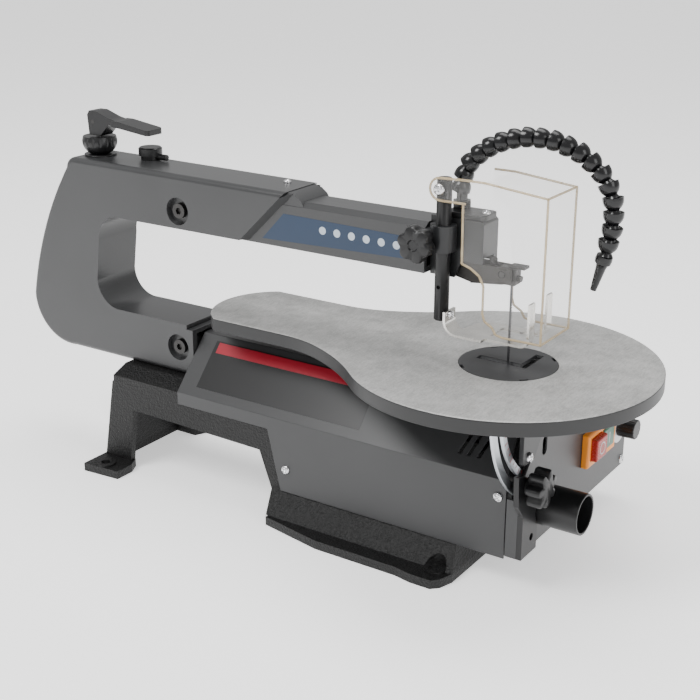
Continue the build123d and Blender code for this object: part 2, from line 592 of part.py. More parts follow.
GUARD_Y = POST_R - POST_Y + 0.5  # inside half width of the guard, clear of the post
GUARD_T = 1.5
GUARD_X = 39.0
with BuildPart() as guard:
    near_plate = [(-32, 149), (-14, 149), (GUARD_X, 143.5), (GUARD_X, 29), (6, 29), (0, 31), (-3, 36), (-10, 40),
                  (-12, 46), (-12, 68), (-16, 76), (-24, 81), (-32, 83)]
    far_plate = [(-32, 149), (-14, 149), (GUARD_X, 143.5), (GUARD_X, 29), (6, 29), (0, 31), (-3, 36), (-10, 40),
                 (-12, 46), (-12, 68), (-14, 84), (-18, 120), (-32, 124)]
    extrude(side_face(near_plate, -GUARD_Y), amount=GUARD_T)
    extrude(side_face(far_plate, GUARD_Y + GUARD_T), amount=GUARD_T)
    wide = GUARD_Y + GUARD_T
    extrude(front_face(box_points(-wide, wide, 29, 143.5), GUARD_X - GUARD_T), amount=GUARD_T)
    roof = [(-14, 149), (GUARD_X, 143.5), (GUARD_X, 143.5 - GUARD_T), (-14, 149 - GUARD_T)]
    extrude(side_face(roof, wide), amount=2 * wide)
    fillet(guard.edges().filter_by(Axis.Z).group_by(Axis.X)[-1], radius=1.4)
    # ear round the post's screw
    extrude(side_face([(POST_X, 148), (-30, 148), (-30, 130), (POST_X, 130)], -GUARD_Y), amount=GUARD_T)
    extrude(side_discs([(POST_X, SCREW_Z)], 9, -GUARD_Y), amount=GUARD_T)
    extrude(side_discs([(POST_X, SCREW_Z)], SCREW_R + RUN, -GUARD_Y), amount=GUARD_T, mode=Mode.SUBTRACT)
guard.part.label = "blade_guard"
export_step(guard.part, "parts/blade_guard.step")

with BuildPart() as guard_screw:
    extrude(side_discs([(POST_X, SCREW_Z)], 4.6, -wide - 0.3), amount=2.6)
    extrude(side_discs([(POST_X, SCREW_Z)], SCREW_R, POST_Y + POST_R), amount=wide + 1 + POST_Y + POST_R)
guard_screw.part.label = "guard_screw"
export_step(guard_screw.part, "parts/guard_screw.step")

# ---- table, insert and tilting parts ----------------------------------------------------------------------------------------
JOIN_DEG = 133.0           # where the round front gives way to the S curve


def table_plan(inset, z):
    """Teardrop plan: round front, S curves, straight tail with a round tip."""
    r = TABLE_R - inset
    join = radians(JOIN_DEG)
    back = at_x(-TABLE_BACK) + inset
    tail = TAIL_HALF - inset
    corner = 26.0
    edge = {}
    for flip in (1, -1):
        start = (at_x(TABLE_CX) + r * cos(join), TABLE_CY + flip * r * sin(join))
        middle = (at_x(-141) - 0.5 * inset, TABLE_CY + flip * (61 - 0.87 * inset))
        end = (at_x(-190), TABLE_CY + flip * tail)
        edge[flip] = (start, middle, end)
    with BuildSketch(Plane.XY.offset(at_z(z)), mode=Mode.PRIVATE) as face:
        with BuildLine():
            ThreePointArc(edge[-1][0], (at_x(TABLE_CX) + r, TABLE_CY), edge[1][0])
            Spline(*edge[1], tangents=[(-sin(join), -0.93 * sin(join)), (-1, 0)])
            Line(edge[1][2], (back + corner, TABLE_CY + tail))
            ThreePointArc((back + corner, TABLE_CY + tail), (back, TABLE_CY), (back + corner, TABLE_CY - tail))
            Line((back + corner, TABLE_CY - tail), edge[-1][2])
            Spline(*reversed(edge[-1]), tangents=[(1, 0), (sin(join), -0.93 * sin(join))])
        make_face()
    return face.sketch


with BuildPart() as table:
    extrude(table_plan(0, -RIM_DEPTH), amount=RIM_DEPTH)
    chamfer(table.faces().sort_by(Axis.Z)[-1].edges(), length=0.8)
    extrude(table_plan(RIM_WIDTH, -RIM_DEPTH), amount=RIM_DEPTH - TABLE_SKIN, mode=Mode.SUBTRACT)
    extrude(plan_discs([(0, 0)], INSERT_R + INSERT_FIT, -INSERT_T), amount=INSERT_T + 1, mode=Mode.SUBTRACT)
    extrude(plan_discs([(0, 0)], TABLE_HOLE_R, -RIM_DEPTH), amount=RIM_DEPTH, mode=Mode.SUBTRACT)
table.part.label = "saw_table"
export_step(table.part, "parts/saw_table.step")

with BuildPart() as insert:
    extrude(plan_discs([(0, 0)], INSERT_R, -INSERT_T), amount=INSERT_T)
    half_slot = SLOT_W / 2
    extrude(plan_face(box_points(-27, 17, -half_slot, half_slot), -INSERT_T), amount=INSERT_T,
            mode=Mode.SUBTRACT)
    extrude(plan_face(box_points(17 - SLOT_W, 17, -half_slot, 30), -INSERT_T), amount=INSERT_T,
            mode=Mode.SUBTRACT)
    with BuildSketch(Plane.XY.offset(at_z(-INSERT_T))):
        with Locations((at_x(0), 0)):
            with PolarLocations(INSERT_R, 4, start_angle=45):
                Rectangle(5, 7)
    extrude(amount=INSERT_T, mode=Mode.SUBTRACT)
insert.part.label = "table_insert"
export_step(insert.part, "parts/table_insert.step")


def tilt_point(radius, down):
    """Point (y, z) at this radius about the tilt axis, down degrees below level on the near side."""
    return (-radius * cos(radians(down)), -radius * sin(radians(down)))


def tilt_band(inner, outer, first, last, x):
    """Part of a ring about the tilt axis, between two angles below level."""
    middle = (first + last) / 2
    with BuildSketch(Plane.YZ.offset(at_x(x)), mode=Mode.PRIVATE) as face:
        with BuildLine():
            corners = {}
            for radius in (inner, outer):
                for down in (first, middle, last):
                    y, z = tilt_point(radius, down)
                    corners[radius, down] = (y, at_z(z))
            ThreePointArc(corners[inner, first], corners[inner, middle], corners[inner, last])
            Line(corners[inner, last], corners[outer, last])
            ThreePointArc(corners[outer, last], corners[outer, middle], corners[outer, first])
            Line(corners[outer, first], corners[inner, first])
        make_face()
    return face.sketch


SCALE_X = 36.0
SCALE_T = 2.5
SCALE_IN = 80.0
SCALE_OUT = 101.0
SLOT_HALF = TILT_BOLT_R + 0.4
SLOT_FIRST = 9.0
SLOT_LAST = 60.0
with BuildPart() as scale:
    extrude(tilt_band(SCALE_IN, SCALE_OUT, 5, 66, SCALE_X), amount=SCALE_T)
    extrude(front_face(box_points(-100, -79, -14, -TABLE_SKIN), SCALE_X), amount=SCALE_T)
    extrude(front_face(box_points(-100, -79, -7.5, -TABLE_SKIN), SCALE_X - 9), amount=9)
    extrude(tilt_band(TILT_R - SLOT_HALF, TILT_R + SLOT_HALF, SLOT_FIRST, SLOT_LAST, SCALE_X),
            amount=SCALE_T, mode=Mode.SUBTRACT)
    extrude(front_discs([tilt_point(TILT_R, SLOT_FIRST), tilt_point(TILT_R, SLOT_LAST)], SLOT_HALF, SCALE_X),
            amount=SCALE_T, mode=Mode.SUBTRACT)
scale.part.label = "angle_scale"
export_step(scale.part, "parts/angle_scale.step")

TRUNNION_X = 43.0
TRUNNION_T = 3.5
with BuildPart() as trunnion:
    extrude(front_face([(-62, -5), (-22, -5), (-22, -30), (-42, -56), (-60, -56), (-62, -54)], TRUNNION_X),
            amount=TRUNNION_T)
    extrude(front_face([(-62, -5), (-22, -5), (-22, -8.5), (-62, -8.5)], TRUNNION_X), amount=15)
    extrude(front_discs([(-52, -51)], 2, TRUNNION_X), amount=TRUNNION_T, mode=Mode.SUBTRACT)
trunnion.part.label = "table_trunnion"
export_step(trunnion.part, "parts/table_trunnion.step")

with BuildPart() as trunnion_screw:
    extrude(front_discs([(-52, -51)], 4.2, TRUNNION_X + TRUNNION_T), amount=2.6)
    extrude(front_discs([(-52, -51)], 2, TRUNNION_X), amount=TRUNNION_T)
trunnion_screw.part.label = "trunnion_screw"
export_step(trunnion_screw.part, "parts/trunnion_screw.step")

bolt_at = tilt_point(TILT_R, TILT_DEG)
with BuildPart() as clamp_bracket:
    extrude(front_face([(-68, -62), (-44, -68), (-32, -80), (-30, -92), (-30, -138), (-57, -138), (-57, -100),
                        (-66, -88)], PLATE_X), amount=4.5)
    extrude(front_discs([(OUTLET_Y, OUTLET_Z)], OUTLET_R + 2, PLATE_X), amount=4.5, mode=Mode.SUBTRACT)
    extrude(front_discs([(-40, -124)], 3, PLATE_X), amount=4.5, mode=Mode.SUBTRACT)
    extrude(front_discs([(0, 0)], TILT_R - 4, PLATE_X), amount=4.5, mode=Mode.SUBTRACT)
    extrude(front_discs([bolt_at], TILT_BOLT_R, PLATE_X), amount=4.5, mode=Mode.SUBTRACT)
clamp_bracket.part.label = "tilt_clamp_bracket"
export_step(clamp_bracket.part, "parts/tilt_clamp_bracket.step")

with BuildPart() as tilt_bolt:
    extrude(front_discs([bolt_at], 6.5, SCALE_X - 4), amount=4 - GAP)
    extrude(front_discs([bolt_at], TILT_BOLT_R, SCALE_X - 4), amount=29)
tilt_bolt.part.label = "tilt_bolt"
export_step(tilt_bolt.part, "parts/tilt_bolt.step")

with BuildPart() as tilt_knob:
    extrude(front_discs([bolt_at], 7.5, PLATE_X + 4.5 + GAP), amount=4)
    with BuildSketch(Plane.YZ.offset(at_x(50.5))):
        with Locations((bolt_at[0], at_z(bolt_at[1]))):
            Circle(TILT_KNOB_R)
            with PolarLocations(TILT_KNOB_R + 3.8, 7):
                Circle(6, mode=Mode.SUBTRACT)
    extrude(amount=13.5)
    chamfer(tilt_knob.faces().sort_by(Axis.X)[-1].edges(), length=1)
    extrude(front_discs([bolt_at], TILT_BOLT_R + RUN, PLATE_X + 4), amount=15.5, mode=Mode.SUBTRACT)
tilt_knob.part.label = "tilt_knob"
export_step(tilt_knob.part, "parts/tilt_knob.step")

# ---- front plate and side covers ---------------------------------------------------------------------------------------------
PLATE_NEAR = -COVER_Y - 5.0
SWITCH_Y = (61.0, 119.0)
SWITCH_Z = (-105.5, -75.0)
DIAL_AT = (142.0, -95.0)
outlet_at = (OUTLET_Y, OUTLET_Z)
with BuildPart() as front_plate:
    plate_outline = [(PLATE_NEAR, -138), (160, -138), (160, -60), (118, -20), (2, -20), (PLATE_NEAR, -79)]
    extrude(front_face(plate_outline, PLATE_X - SHEET), amount=SHEET)
    extrude(front_face(box_points(PLATE_NEAR, PLATE_NEAR + SHEET, -138, -88), PLATE_X - 10), amount=10)
    extrude(front_face(box_points(SWITCH_Y[0] + 3, SWITCH_Y[1] - 3, SWITCH_Z[0] + 2, SWITCH_Z[1] - 2),
                       PLATE_X - SHEET), amount=SHEET, mode=Mode.SUBTRACT)
    extrude(front_discs([outlet_at], OUTLET_R - OUTLET_T, PLATE_X - SHEET), amount=SHEET, mode=Mode.SUBTRACT)
    extrude(front_discs([bolt_at], TILT_BOLT_R + 0.3, PLATE_X - SHEET), amount=SHEET, mode=Mode.SUBTRACT)
    extrude(front_discs([DIAL_AT], 3.3, PLATE_X - SHEET), amount=SHEET, mode=Mode.SUBTRACT)
    extrude(front_discs([(-38, -108)], 3, PLATE_X - SHEET), amount=SHEET, mode=Mode.SUBTRACT)
    with BuildSketch(Plane.YZ.offset(at_x(PLATE_X - SHEET))):
        with Locations((-14, at_z(-56))):
            SlotOverall(16, 8, rotation=90)
    extrude(amount=SHEET, mode=Mode.SUBTRACT)
front_plate.part.label = "front_plate"
export_step(front_plate.part, "parts/front_plate.step")

cover_in = COVER_Y - SHEET


def side_cover(flip, low_front, top_front):
    """Sheet cover beside the lower arm; flip is -1 for the near side, 1 for the far side."""
    outer = [(0, -30), (10, -30), (COVER_Y, -76), (COVER_Y, -144)]
    inner = [(cover_in, -144), (cover_in, -76.6), (10 - 0.7, -30 - SHEET), (0, -30 - SHEET)]
    with BuildPart() as cover:
        extrude(front_face([(flip * (y + (0.2 if y == 0 else 0)), z) for y, z in outer + inner], -306),
                amount=306 + low_front)
        # stepped lower edge and slanted front edge
        extrude(side_face([(-310, -88), (-204, -88), (-190, -146), (-310, -146)], flip * 50 + 15), amount=30,
                mode=Mode.SUBTRACT)
        extrude(side_face([(low_front + 1, -78), (top_front, -28), (low_front + 1, -28)], flip * 27 + 40),
                amount=80, mode=Mode.SUBTRACT)
    return cover


near_cover = side_cover(-1, 29, 18)
with BuildPart() as side_cover_near:
    add(near_cover.part)
    # three slanted vents in the slope and the blade's opening
    for x in (-12, -4, 5):
        extrude(side_face([(x - 1.2, -48), (x + 1.8, -48), (x - 4.5, -67), (x - 7.5, -67)], -20), amount=40,
                mode=Mode.SUBTRACT)
    extrude(plan_face(box_points(-10, 12, -6, 2), -40), amount=20, mode=Mode.SUBTRACT)
side_cover_near.part.label = "side_cover_near"
export_step(side_cover_near.part, "parts/side_cover_near.step")

MOTOR_COVER_X = -165.0
far_cover = side_cover(1, MOTOR_COVER_X - 0.5, MOTOR_COVER_X + 20)
far_cover.part.label = "side_cover_far"
export_step(far_cover.part, "parts/side_cover_far.step")

with BuildPart() as motor_cover:
    shell = [(0.2, -30), (10, -30), (20, -20), (118, -20), (158, -60), (158, -138), (COVER_Y, -138)]
    hollow = [(-5, -30 - SHEET), (10.6, -30 - SHEET), (20.6, -20 - SHEET), (117.4, -20 - SHEET),
              (158 - SHEET, -60.6), (158 - SHEET, -138 + SHEET), (COVER_Y - 5, -138 + SHEET)]
    extrude(front_face(shell, MOTOR_COVER_X), amount=PLATE_X - SHEET - MOTOR_COVER_X)
    extrude(front_face(hollow, MOTOR_COVER_X + SHEET), amount=PLATE_X - MOTOR_COVER_X, mode=Mode.SUBTRACT)
    # clear of the base and the lower arm
    extrude(front_face([(-5, -30 - SHEET), (BASE_HALF, -30 - SHEET), (BASE_HALF, -140), (-5, -140)],
                       MOTOR_COVER_X - 1), amount=220, mode=Mode.SUBTRACT)
    extrude(plan_face(box_points(-10, 12, -2, 6), -40), amount=20, mode=Mode.SUBTRACT)
motor_cover.part.label = "motor_cover"
export_step(motor_cover.part, "parts/motor_cover.step")

with BuildPart() as cover_screws:
    extrude(side_discs([(-184, -122), (22, -91)], 4.2, -COVER_Y), amount=2.2)
    extrude(front_discs([(154, -132)], 4.2, PLATE_X), amount=2.2)
cover_screws.part.label = "cover_screws"
export_step(cover_screws.part, "parts/cover_screws.step")

# ---- dust outlet and controls on the front plate -----------------------------------------------------------------------------
with BuildPart() as outlet:
    extrude(front_discs([outlet_at], OUTLET_R, PLATE_X), amount=38)
    extrude(front_discs([outlet_at], OUTLET_R - OUTLET_T, PLATE_X), amount=38, mode=Mode.SUBTRACT)
outlet.part.label = "dust_outlet"
export_step(outlet.part, "parts/dust_outlet.step")

STOP_Y = (66.0, 87.0)
START_Y = (90.0, 112.0)
BUTTON_Z = (-99.0, -79.5)
with BuildPart() as switch_frame:
    extrude(front_face(box_points(*SWITCH_Y, *SWITCH_Z), PLATE_X), amount=7)
    chamfer(switch_frame.faces().sort_by(Axis.X)[-1].edges(), length=1.5)
    for low, high in (STOP_Y, START_Y):
        extrude(front_face(box_points(low - GAP, high + GAP, BUTTON_Z[0] - GAP, BUTTON_Z[1] + GAP), PLATE_X),
                amount=8, mode=Mode.SUBTRACT)
switch_frame.part.label = "switch_frame"
export_step(switch_frame.part, "parts/switch_frame.step")

with BuildPart() as switch_body:
    extrude(front_face(box_points(SWITCH_Y[0], SWITCH_Y[1], SWITCH_Z[0], SWITCH_Z[1]), 20), amount=20.5)
    extrude(front_face(box_points(STOP_Y[0] - 1, START_Y[1] + 1, BUTTON_Z[0] - 1, BUTTON_Z[1] + 1), 36),
            amount=5, mode=Mode.SUBTRACT)
switch_body.part.label = "switch_body"
export_step(switch_body.part, "parts/switch_body.step")


def button(span, proud):
    """Push button with eased front edges; it rests clear of the switch by its travel."""
    with BuildPart() as key:
        extrude(front_face(box_points(*span, *BUTTON_Z), 36 + BUTTON_TRAVEL + GAP),
                amount=proud - 36 - BUTTON_TRAVEL - GAP)
        fillet(key.faces().sort_by(Axis.X)[-1].edges(), radius=1.5)
    return key


stop_button = button(STOP_Y, 54.5)
stop_button.part.label = "stop_button"
export_step(stop_button.part, "parts/stop_button.step")
start_button = button(START_Y, 50.5)
start_button.part.label = "start_button"
export_step(start_button.part, "parts/start_button.step")

with BuildPart() as speed_dial:
    extrude(front_discs([DIAL_AT], 15.5, PLATE_X), amount=1.2)
    extrude(front_discs([DIAL_AT], 3.3, PLATE_X), amount=1.2, mode=Mode.SUBTRACT)
speed_dial.part.label = "speed_dial"
export_step(speed_dial.part, "parts/speed_dial.step")

with BuildPart() as speed_control:
    extrude(front_discs([DIAL_AT], 8, 28), amount=12.5)
    extrude(front_discs([DIAL_AT], 3, 40), amount=14)
speed_control.part.label = "speed_control"
export_step(speed_control.part, "parts/speed_control.step")

with BuildPart() as speed_knob:
    with BuildSketch(Plane.YZ.offset(at_x(PLATE_X + 1.2 + GAP))):
        with Locations((DIAL_AT[0], at_z(DIAL_AT[1]))):
            Circle(9)
            with PolarLocations(9.6, 12):
                Circle(1.1, mode=Mode.SUBTRACT)
    extrude(amount=16)
    chamfer(speed_knob.faces().sort_by(Axis.X)[-1].edges(), length=0.6)
    extrude(front_discs([DIAL_AT], 3 + RUN, PLATE_X), amount=13, mode=Mode.SUBTRACT)
speed_knob.part.label = "speed_knob"
export_step(speed_knob.part, "parts/speed_knob.step")

# ---- motor, crank and connecting rod ----------------------------------------------------------------------------------------------
BRACKET_FAR = BASE_HALF + 5.5
motor_at = (MOTOR_X, MOTOR_Z)
with BuildPart() as motor_bracket:
    extrude(side_face(box_points(-106, -15, -132, -46), BRACKET_FAR), amount=5.5)
    extrude(side_discs([motor_at], SHAFT_R + RUN, BRACKET_FAR), amount=5.5, mode=Mode.SUBTRACT)
motor_bracket.part.label = "motor_bracket"
export_step(motor_bracket.part, "parts/motor_bracket.step")

MOTOR_FAR = BRACKET_FAR + 84
CUP_FAR = BRACKET_FAR + 18
with BuildPart() as motor:
    extrude(side_discs([motor_at], 36, MOTOR_FAR), amount=MOTOR_FAR - BRACKET_FAR)
    extrude(side_discs([motor_at], 32, CUP_FAR), amount=CUP_FAR - BRACKET_FAR, mode=Mode.SUBTRACT)
    extrude(side_discs([motor_at], SHAFT_R + RUN, MOTOR_FAR - 6), amount=74, mode=Mode.SUBTRACT)
motor.part.label = "motor_housing"
export_step(motor.part, "parts/motor_housing.step")

with BuildPart() as crank:
    extrude(side_discs([motor_at], SHAFT_R, MOTOR_FAR - 7), amount=MOTOR_FAR - 19)
    extrude(side_discs([motor_at], 13, 13), amount=8)
    extrude(side_discs([(MOTOR_X, MOTOR_Z + CRANK_R)], CRANK_PIN_R, 6), amount=10)
    # cooling fan inside the motor's front cup
    extrude(side_discs([motor_at], 12, CUP_FAR - 4), amount=9)
    with BuildSketch(Plane.XZ.offset(4 - CUP_FAR)):
        with Locations(*side([motor_at])):
            with PolarLocations(18, 8):
                Rectangle(22, 2)
    extrude(amount=9)
crank.part.label = "motor_crank"
export_step(crank.part, "parts/motor_crank.step")

RING_IN = 2 * CRANK_R + CRANK_PIN_R + 0.5
RING_OUT = RING_IN + 3.5
ring_at = (MOTOR_X, MOTOR_Z + CRANK_R)
with BuildPart() as rod:
    extrude(side_discs([ring_at], RING_OUT, LINK_HALF), amount=2 * LINK_HALF)
    extrude(side_face(box_points(LINK_PIN[0] - 4, LINK_PIN[0] + 4, -62, -49), LINK_HALF), amount=2 * LINK_HALF)
    extrude(side_discs([LINK_PIN], 5, LINK_HALF), amount=2 * LINK_HALF)
    extrude(side_discs([ring_at], RING_IN, LINK_HALF), amount=2 * LINK_HALF, mode=Mode.SUBTRACT)
    extrude(side_discs([LINK_PIN], ROD_PIN_R, ROCKER_HALF), amount=rocker)
rod.part.label = "connecting_rod"
export_step(rod.part, "parts/connecting_rod.step")

# ---- air supply and mains inlet ----------------------------------------------------------------------------------------------------------
with BuildPart() as bellows:
    with BuildSketch(Plane.XZ):
        with BuildLine():
            fold = [(0, -100), (20, -100)]
            for i in range(4):
                fold += [(20, -98 + 7 * i), (16.5, -94.5 + 7 * i)]
            fold += [(20, -70), (20, -68), (0, -68)]
            Polyline(*[(at_x(-152) + r, at_z(z)) for r, z in fold], close=True)
        make_face()
    revolve(axis=Axis((at_x(-152), 0, 0), (0, 0, 1)))
bellows.part.label = "air_bellows"
export_step(bellows.part, "parts/air_bellows.step")

TUBE_R = 2.5
tube_points = [(-160, 15, -69), (-185, 15, -62.3), (-455, 15, -62.3), (-484, 15, 20), (-452, 15, 106),
               (-255, 15, 106), (-232, 12, 99), (-68.3, 12, 99)]
with BuildPart() as air_tube:
    with BuildLine() as tube_line:
        FilletPolyline(*[(at_x(x), y, at_z(z)) for x, y, z in tube_points], radius=10)
    with BuildSketch(Plane(origin=tube_line.line @ 0, z_dir=tube_line.line % 0)):
        Circle(TUBE_R)
    sweep()
air_tube.part.label = "air_tube"
export_step(air_tube.part, "parts/air_tube.step")

with BuildPart() as gland:
    extrude(front_discs([(120, -112)], 8, MOTOR_COVER_X - 14), amount=14)
    with BuildSketch(Plane.YZ.offset(at_x(MOTOR_COVER_X - 8))):
        with Locations((120, at_z(-112))):
            RegularPolygon(radius=11, side_count=6)
    extrude(amount=8)
    extrude(front_discs([(120, -112)], 4, MOTOR_COVER_X - 14), amount=12, mode=Mode.SUBTRACT)
gland.part.label = "cable_gland"
export_step(gland.part, "parts/cable_gland.step")
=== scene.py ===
# %% [markdown]
# A bench scroll saw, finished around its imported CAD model.
# Every piece keeps the CAD's place in metres. Most CAD pieces are copied, merged and given eased
# edges, because a real casting or moulding never has a razor edge and only eased edges catch light.

# %% Load the frame
import bpy
import bmesh
import json
from math import cos, pi, radians, sin
from mathutils import Matrix, Vector


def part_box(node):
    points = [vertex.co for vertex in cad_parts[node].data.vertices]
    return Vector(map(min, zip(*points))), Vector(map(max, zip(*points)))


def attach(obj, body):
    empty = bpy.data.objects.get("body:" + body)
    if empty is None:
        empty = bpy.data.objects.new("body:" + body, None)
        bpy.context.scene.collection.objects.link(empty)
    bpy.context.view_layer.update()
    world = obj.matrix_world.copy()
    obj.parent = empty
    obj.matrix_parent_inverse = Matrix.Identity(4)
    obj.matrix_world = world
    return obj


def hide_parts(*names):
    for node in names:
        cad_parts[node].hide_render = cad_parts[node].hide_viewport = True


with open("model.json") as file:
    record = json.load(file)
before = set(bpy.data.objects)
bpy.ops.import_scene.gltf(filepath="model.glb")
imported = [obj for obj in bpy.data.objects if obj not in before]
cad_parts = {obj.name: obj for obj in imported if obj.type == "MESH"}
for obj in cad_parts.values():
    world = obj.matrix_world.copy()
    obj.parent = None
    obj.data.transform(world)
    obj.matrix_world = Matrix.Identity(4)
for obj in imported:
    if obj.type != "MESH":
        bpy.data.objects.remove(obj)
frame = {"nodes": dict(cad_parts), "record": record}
nodes = frame["nodes"]
bodies = frame["record"]["behaviour"]["bodies"]
body_of = {node: body for body, names in bodies.items() for node in names}
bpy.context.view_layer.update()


def middle(node):
    """Centre of a CAD node's box."""
    low, high = (Vector(c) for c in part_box(node))
    return (low + high) / 2


BLADE_X = middle("blade").x
TABLE_Z = Vector(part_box("saw_table")[1]).z
print("blade at", round(BLADE_X, 4), "table top at", round(TABLE_Z, 4))

# %% [markdown]
# ## Shader maths
# One small class wraps a socket, so a pattern reads like the formula it is.

# %% A socket that does arithmetic


class Wire:
    """An output socket in a material's tree, with operators that add Math nodes."""

    def __init__(self, tree, socket):
        self.tree = tree
        self.socket = socket

    def node(self, kind, settings=None, **inputs):
        """Adds any node: its settings first, then values or links by input name, or i0, i1 by place."""
        made = self.tree.nodes.new(kind)
        for name, value in (settings or {}).items():
            setattr(made, name, value)
        for name, value in inputs.items():
            slot = made.inputs[int(name[1:])] if name[0] == "i" and name[1:].isdigit() else \
                made.inputs[name.replace("_", " ")]
            if isinstance(value, Wire):
                self.tree.links.new(value.socket, slot)
            else:
                slot.default_value = value
        return made

    def out(self, made, name=0):
        return Wire(self.tree, made.outputs[name])

    def math(self, operation, a, b=0.0, c=0.0):
        return self.out(self.node("ShaderNodeMath", {"operation": operation}, i0=a, i1=b, i2=c))

    def __add__(self, other):
        return self.math("ADD", self, other)

    def __radd__(self, other):
        return self.math("ADD", other, self)

    def __sub__(self, other):
        return self.math("SUBTRACT", self, other)

    def __rsub__(self, other):
        return self.math("SUBTRACT", other, self)

    def __mul__(self, other):
        return self.math("MULTIPLY", self, other)

    def __rmul__(self, other):
        return self.math("MULTIPLY", other, self)

    def above(self, limit):
        return self.math("GREATER_THAN", self, limit)

    def soft(self, low, high):
        """0 below low, 1 above high, smooth between."""
        made = self.node("ShaderNodeMapRange", {"interpolation_type": "SMOOTHSTEP"}, Value=self,
                         From_Min=low, From_Max=high, To_Min=0.0, To_Max=1.0)
        return self.out(made)

    def blend(self, first, second):
        """Colour mix, with this value as the factor."""
        made = self.tree.nodes.new("ShaderNodeMix")
        made.data_type = "RGBA"
        self.tree.links.new(self.socket, made.inputs[0])
        for value, slot in ((first, made.inputs[6]), (second, made.inputs[7])):
            if isinstance(value, Wire):
                self.tree.links.new(value.socket, slot)
            else:
                slot.default_value = (*value, 1.0)
        return Wire(self.tree, made.outputs[2])


class Finish:
    """A material being made: its Principled shader, Object coordinates and noise."""

    def __init__(self, name, **constants):
        self.material = bpy.data.materials.new(name)
        self.material.use_nodes = True
        self.tree = self.material.node_tree
        self.shader = next(n for n in self.tree.nodes if n.type == "BSDF_PRINCIPLED")
        for key, value in constants.items():
            self.shader.inputs[key.replace("_", " ")].default_value = value
        coordinates = self.tree.nodes.new("ShaderNodeTexCoord")
        self.place = Wire(self.tree, coordinates.outputs["Object"])
        split = self.place.node("ShaderNodeSeparateXYZ", None, i0=self.place)
        self.height = Wire(self.tree, split.outputs["Z"])

    def noise(self, scale, detail=3.0, rough=0.5, stretch=None):
        """Noise on Object coordinates; stretch scales the axes."""
        place = self.place
        if stretch:
            place = place.out(place.node("ShaderNodeMapping", None, Vector=place, Scale=stretch))
        made = place.node("ShaderNodeTexNoise", None, Vector=place, Scale=scale, Detail=detail,
                          Roughness=rough)
        return Wire(self.tree, made.outputs[0])

    def cells(self, scale):
        made = self.place.node("ShaderNodeTexVoronoi", None, Vector=self.place, Scale=scale)
        return Wire(self.tree, made.outputs[0])

    def set(self, **wires):
        for key, wire in wires.items():
            self.tree.links.new(wire.socket, self.shader.inputs[key.replace("_", " ")])
        return self

    def bump(self, height, strength, distance):
        made = height.node("ShaderNodeBump", None, Height=height, Strength=strength, Distance=distance)
        self.tree.links.new(made.outputs[0], self.shader.inputs["Normal"])
        return self


finishes = {}


def keep(name, finish):
    finishes[name] = finish.material
    print("finish", name)


# %% [markdown]
# ## Finishes
# Charcoal enamel on the castings and sheets: a fine orange peel, slightly glossy, faintly dusty.

# %% Charcoal enamel


def enamel(name, shade, gloss):
    made = Finish(name, Metallic=0.0, IOR=1.5)
    cloud = made.noise(9.0, 2.0)
    grain = made.noise(900.0, 2.0)
    light = tuple(1.16 * c for c in shade)
    made.set(Base_Color=cloud.soft(0.3, 0.7).blend(shade, light),
             Roughness=gloss + 0.08 * cloud + 0.05 * grain)
    made.bump(made.noise(420.0, 3.0) + 0.5 * grain, 0.10, 0.0004)
    keep(name, made)


enamel("charcoal", (0.034, 0.0345, 0.0355), 0.24)
enamel("charcoal_sheet", (0.030, 0.0305, 0.0315), 0.30)
enamel("nose_grey", (0.012, 0.0125, 0.0135), 0.30)

# %% [markdown]
# The foot casting is sprayed with a black wrinkle paint: pits and ridges about a millimetre wide.

# %% Black wrinkle paint
wrinkle = Finish("wrinkle_black", Metallic=0.0, Specular_IOR_Level=0.35)
ridges = wrinkle.cells(520.0)
lumps = wrinkle.noise(260.0, 5.0, 0.7)
wrinkle.set(Base_Color=lumps.soft(0.35, 0.75).blend((0.003, 0.003, 0.003), (0.012, 0.012, 0.012)),
            Roughness=0.34 + 0.3 * lumps)
wrinkle.bump(ridges * 0.7 + lumps, 0.75, 0.0011)
keep("wrinkle_black", wrinkle)

# %% [markdown]
# The table is planed and polished cast metal: pale grey, mottled, with short scratches that run
# across it. Its rim and underside are enamelled charcoal, so the height chooses the finish.

# %% Polished table top
TOP_SKIN = 0.0006  # how far below its highest point the table still counts as its top
planed = Finish("planed_table")
mottle = planed.noise(55.0, 6.0, 0.72)
scratch = planed.noise(110.0, 7.0, 0.85, (5.0, 1.0, 1.0))
fleck = planed.noise(700.0, 3.0, 0.6)
tone = (mottle * 0.3 + scratch * 0.45 + fleck * 0.25).soft(0.36, 0.64)
stone = tone.blend((0.27, 0.27, 0.262), (0.50, 0.495, 0.485))
on_top = planed.height.above(TABLE_Z - TOP_SKIN)
planed.set(Base_Color=on_top.blend((0.010, 0.0102, 0.0106), stone), Metallic=on_top * 0.35,
           Roughness=0.42 + on_top * (0.02 + 0.16 * scratch))
planed.bump(scratch + fleck, 0.08, 0.0003)
keep("planed_table", planed)

# %% [markdown]
# Moulded black plastic has a faint grain; the turned and pressed steels are brushed or plated.

# %% Plastics and metals


def plastic(name, shade, gloss, grain_size=1500.0, depth=0.08):
    made = Finish(name, Metallic=0.0, IOR=1.46)
    grain = made.noise(grain_size, 3.0)
    patch = made.noise(30.0, 2.0)
    light = tuple(min(1.0, 1.22 * c) for c in shade)
    made.set(Base_Color=patch.soft(0.3, 0.7).blend(shade, light), Roughness=gloss + 0.1 * grain)
    made.bump(grain, depth, 0.0003)
    keep(name, made)


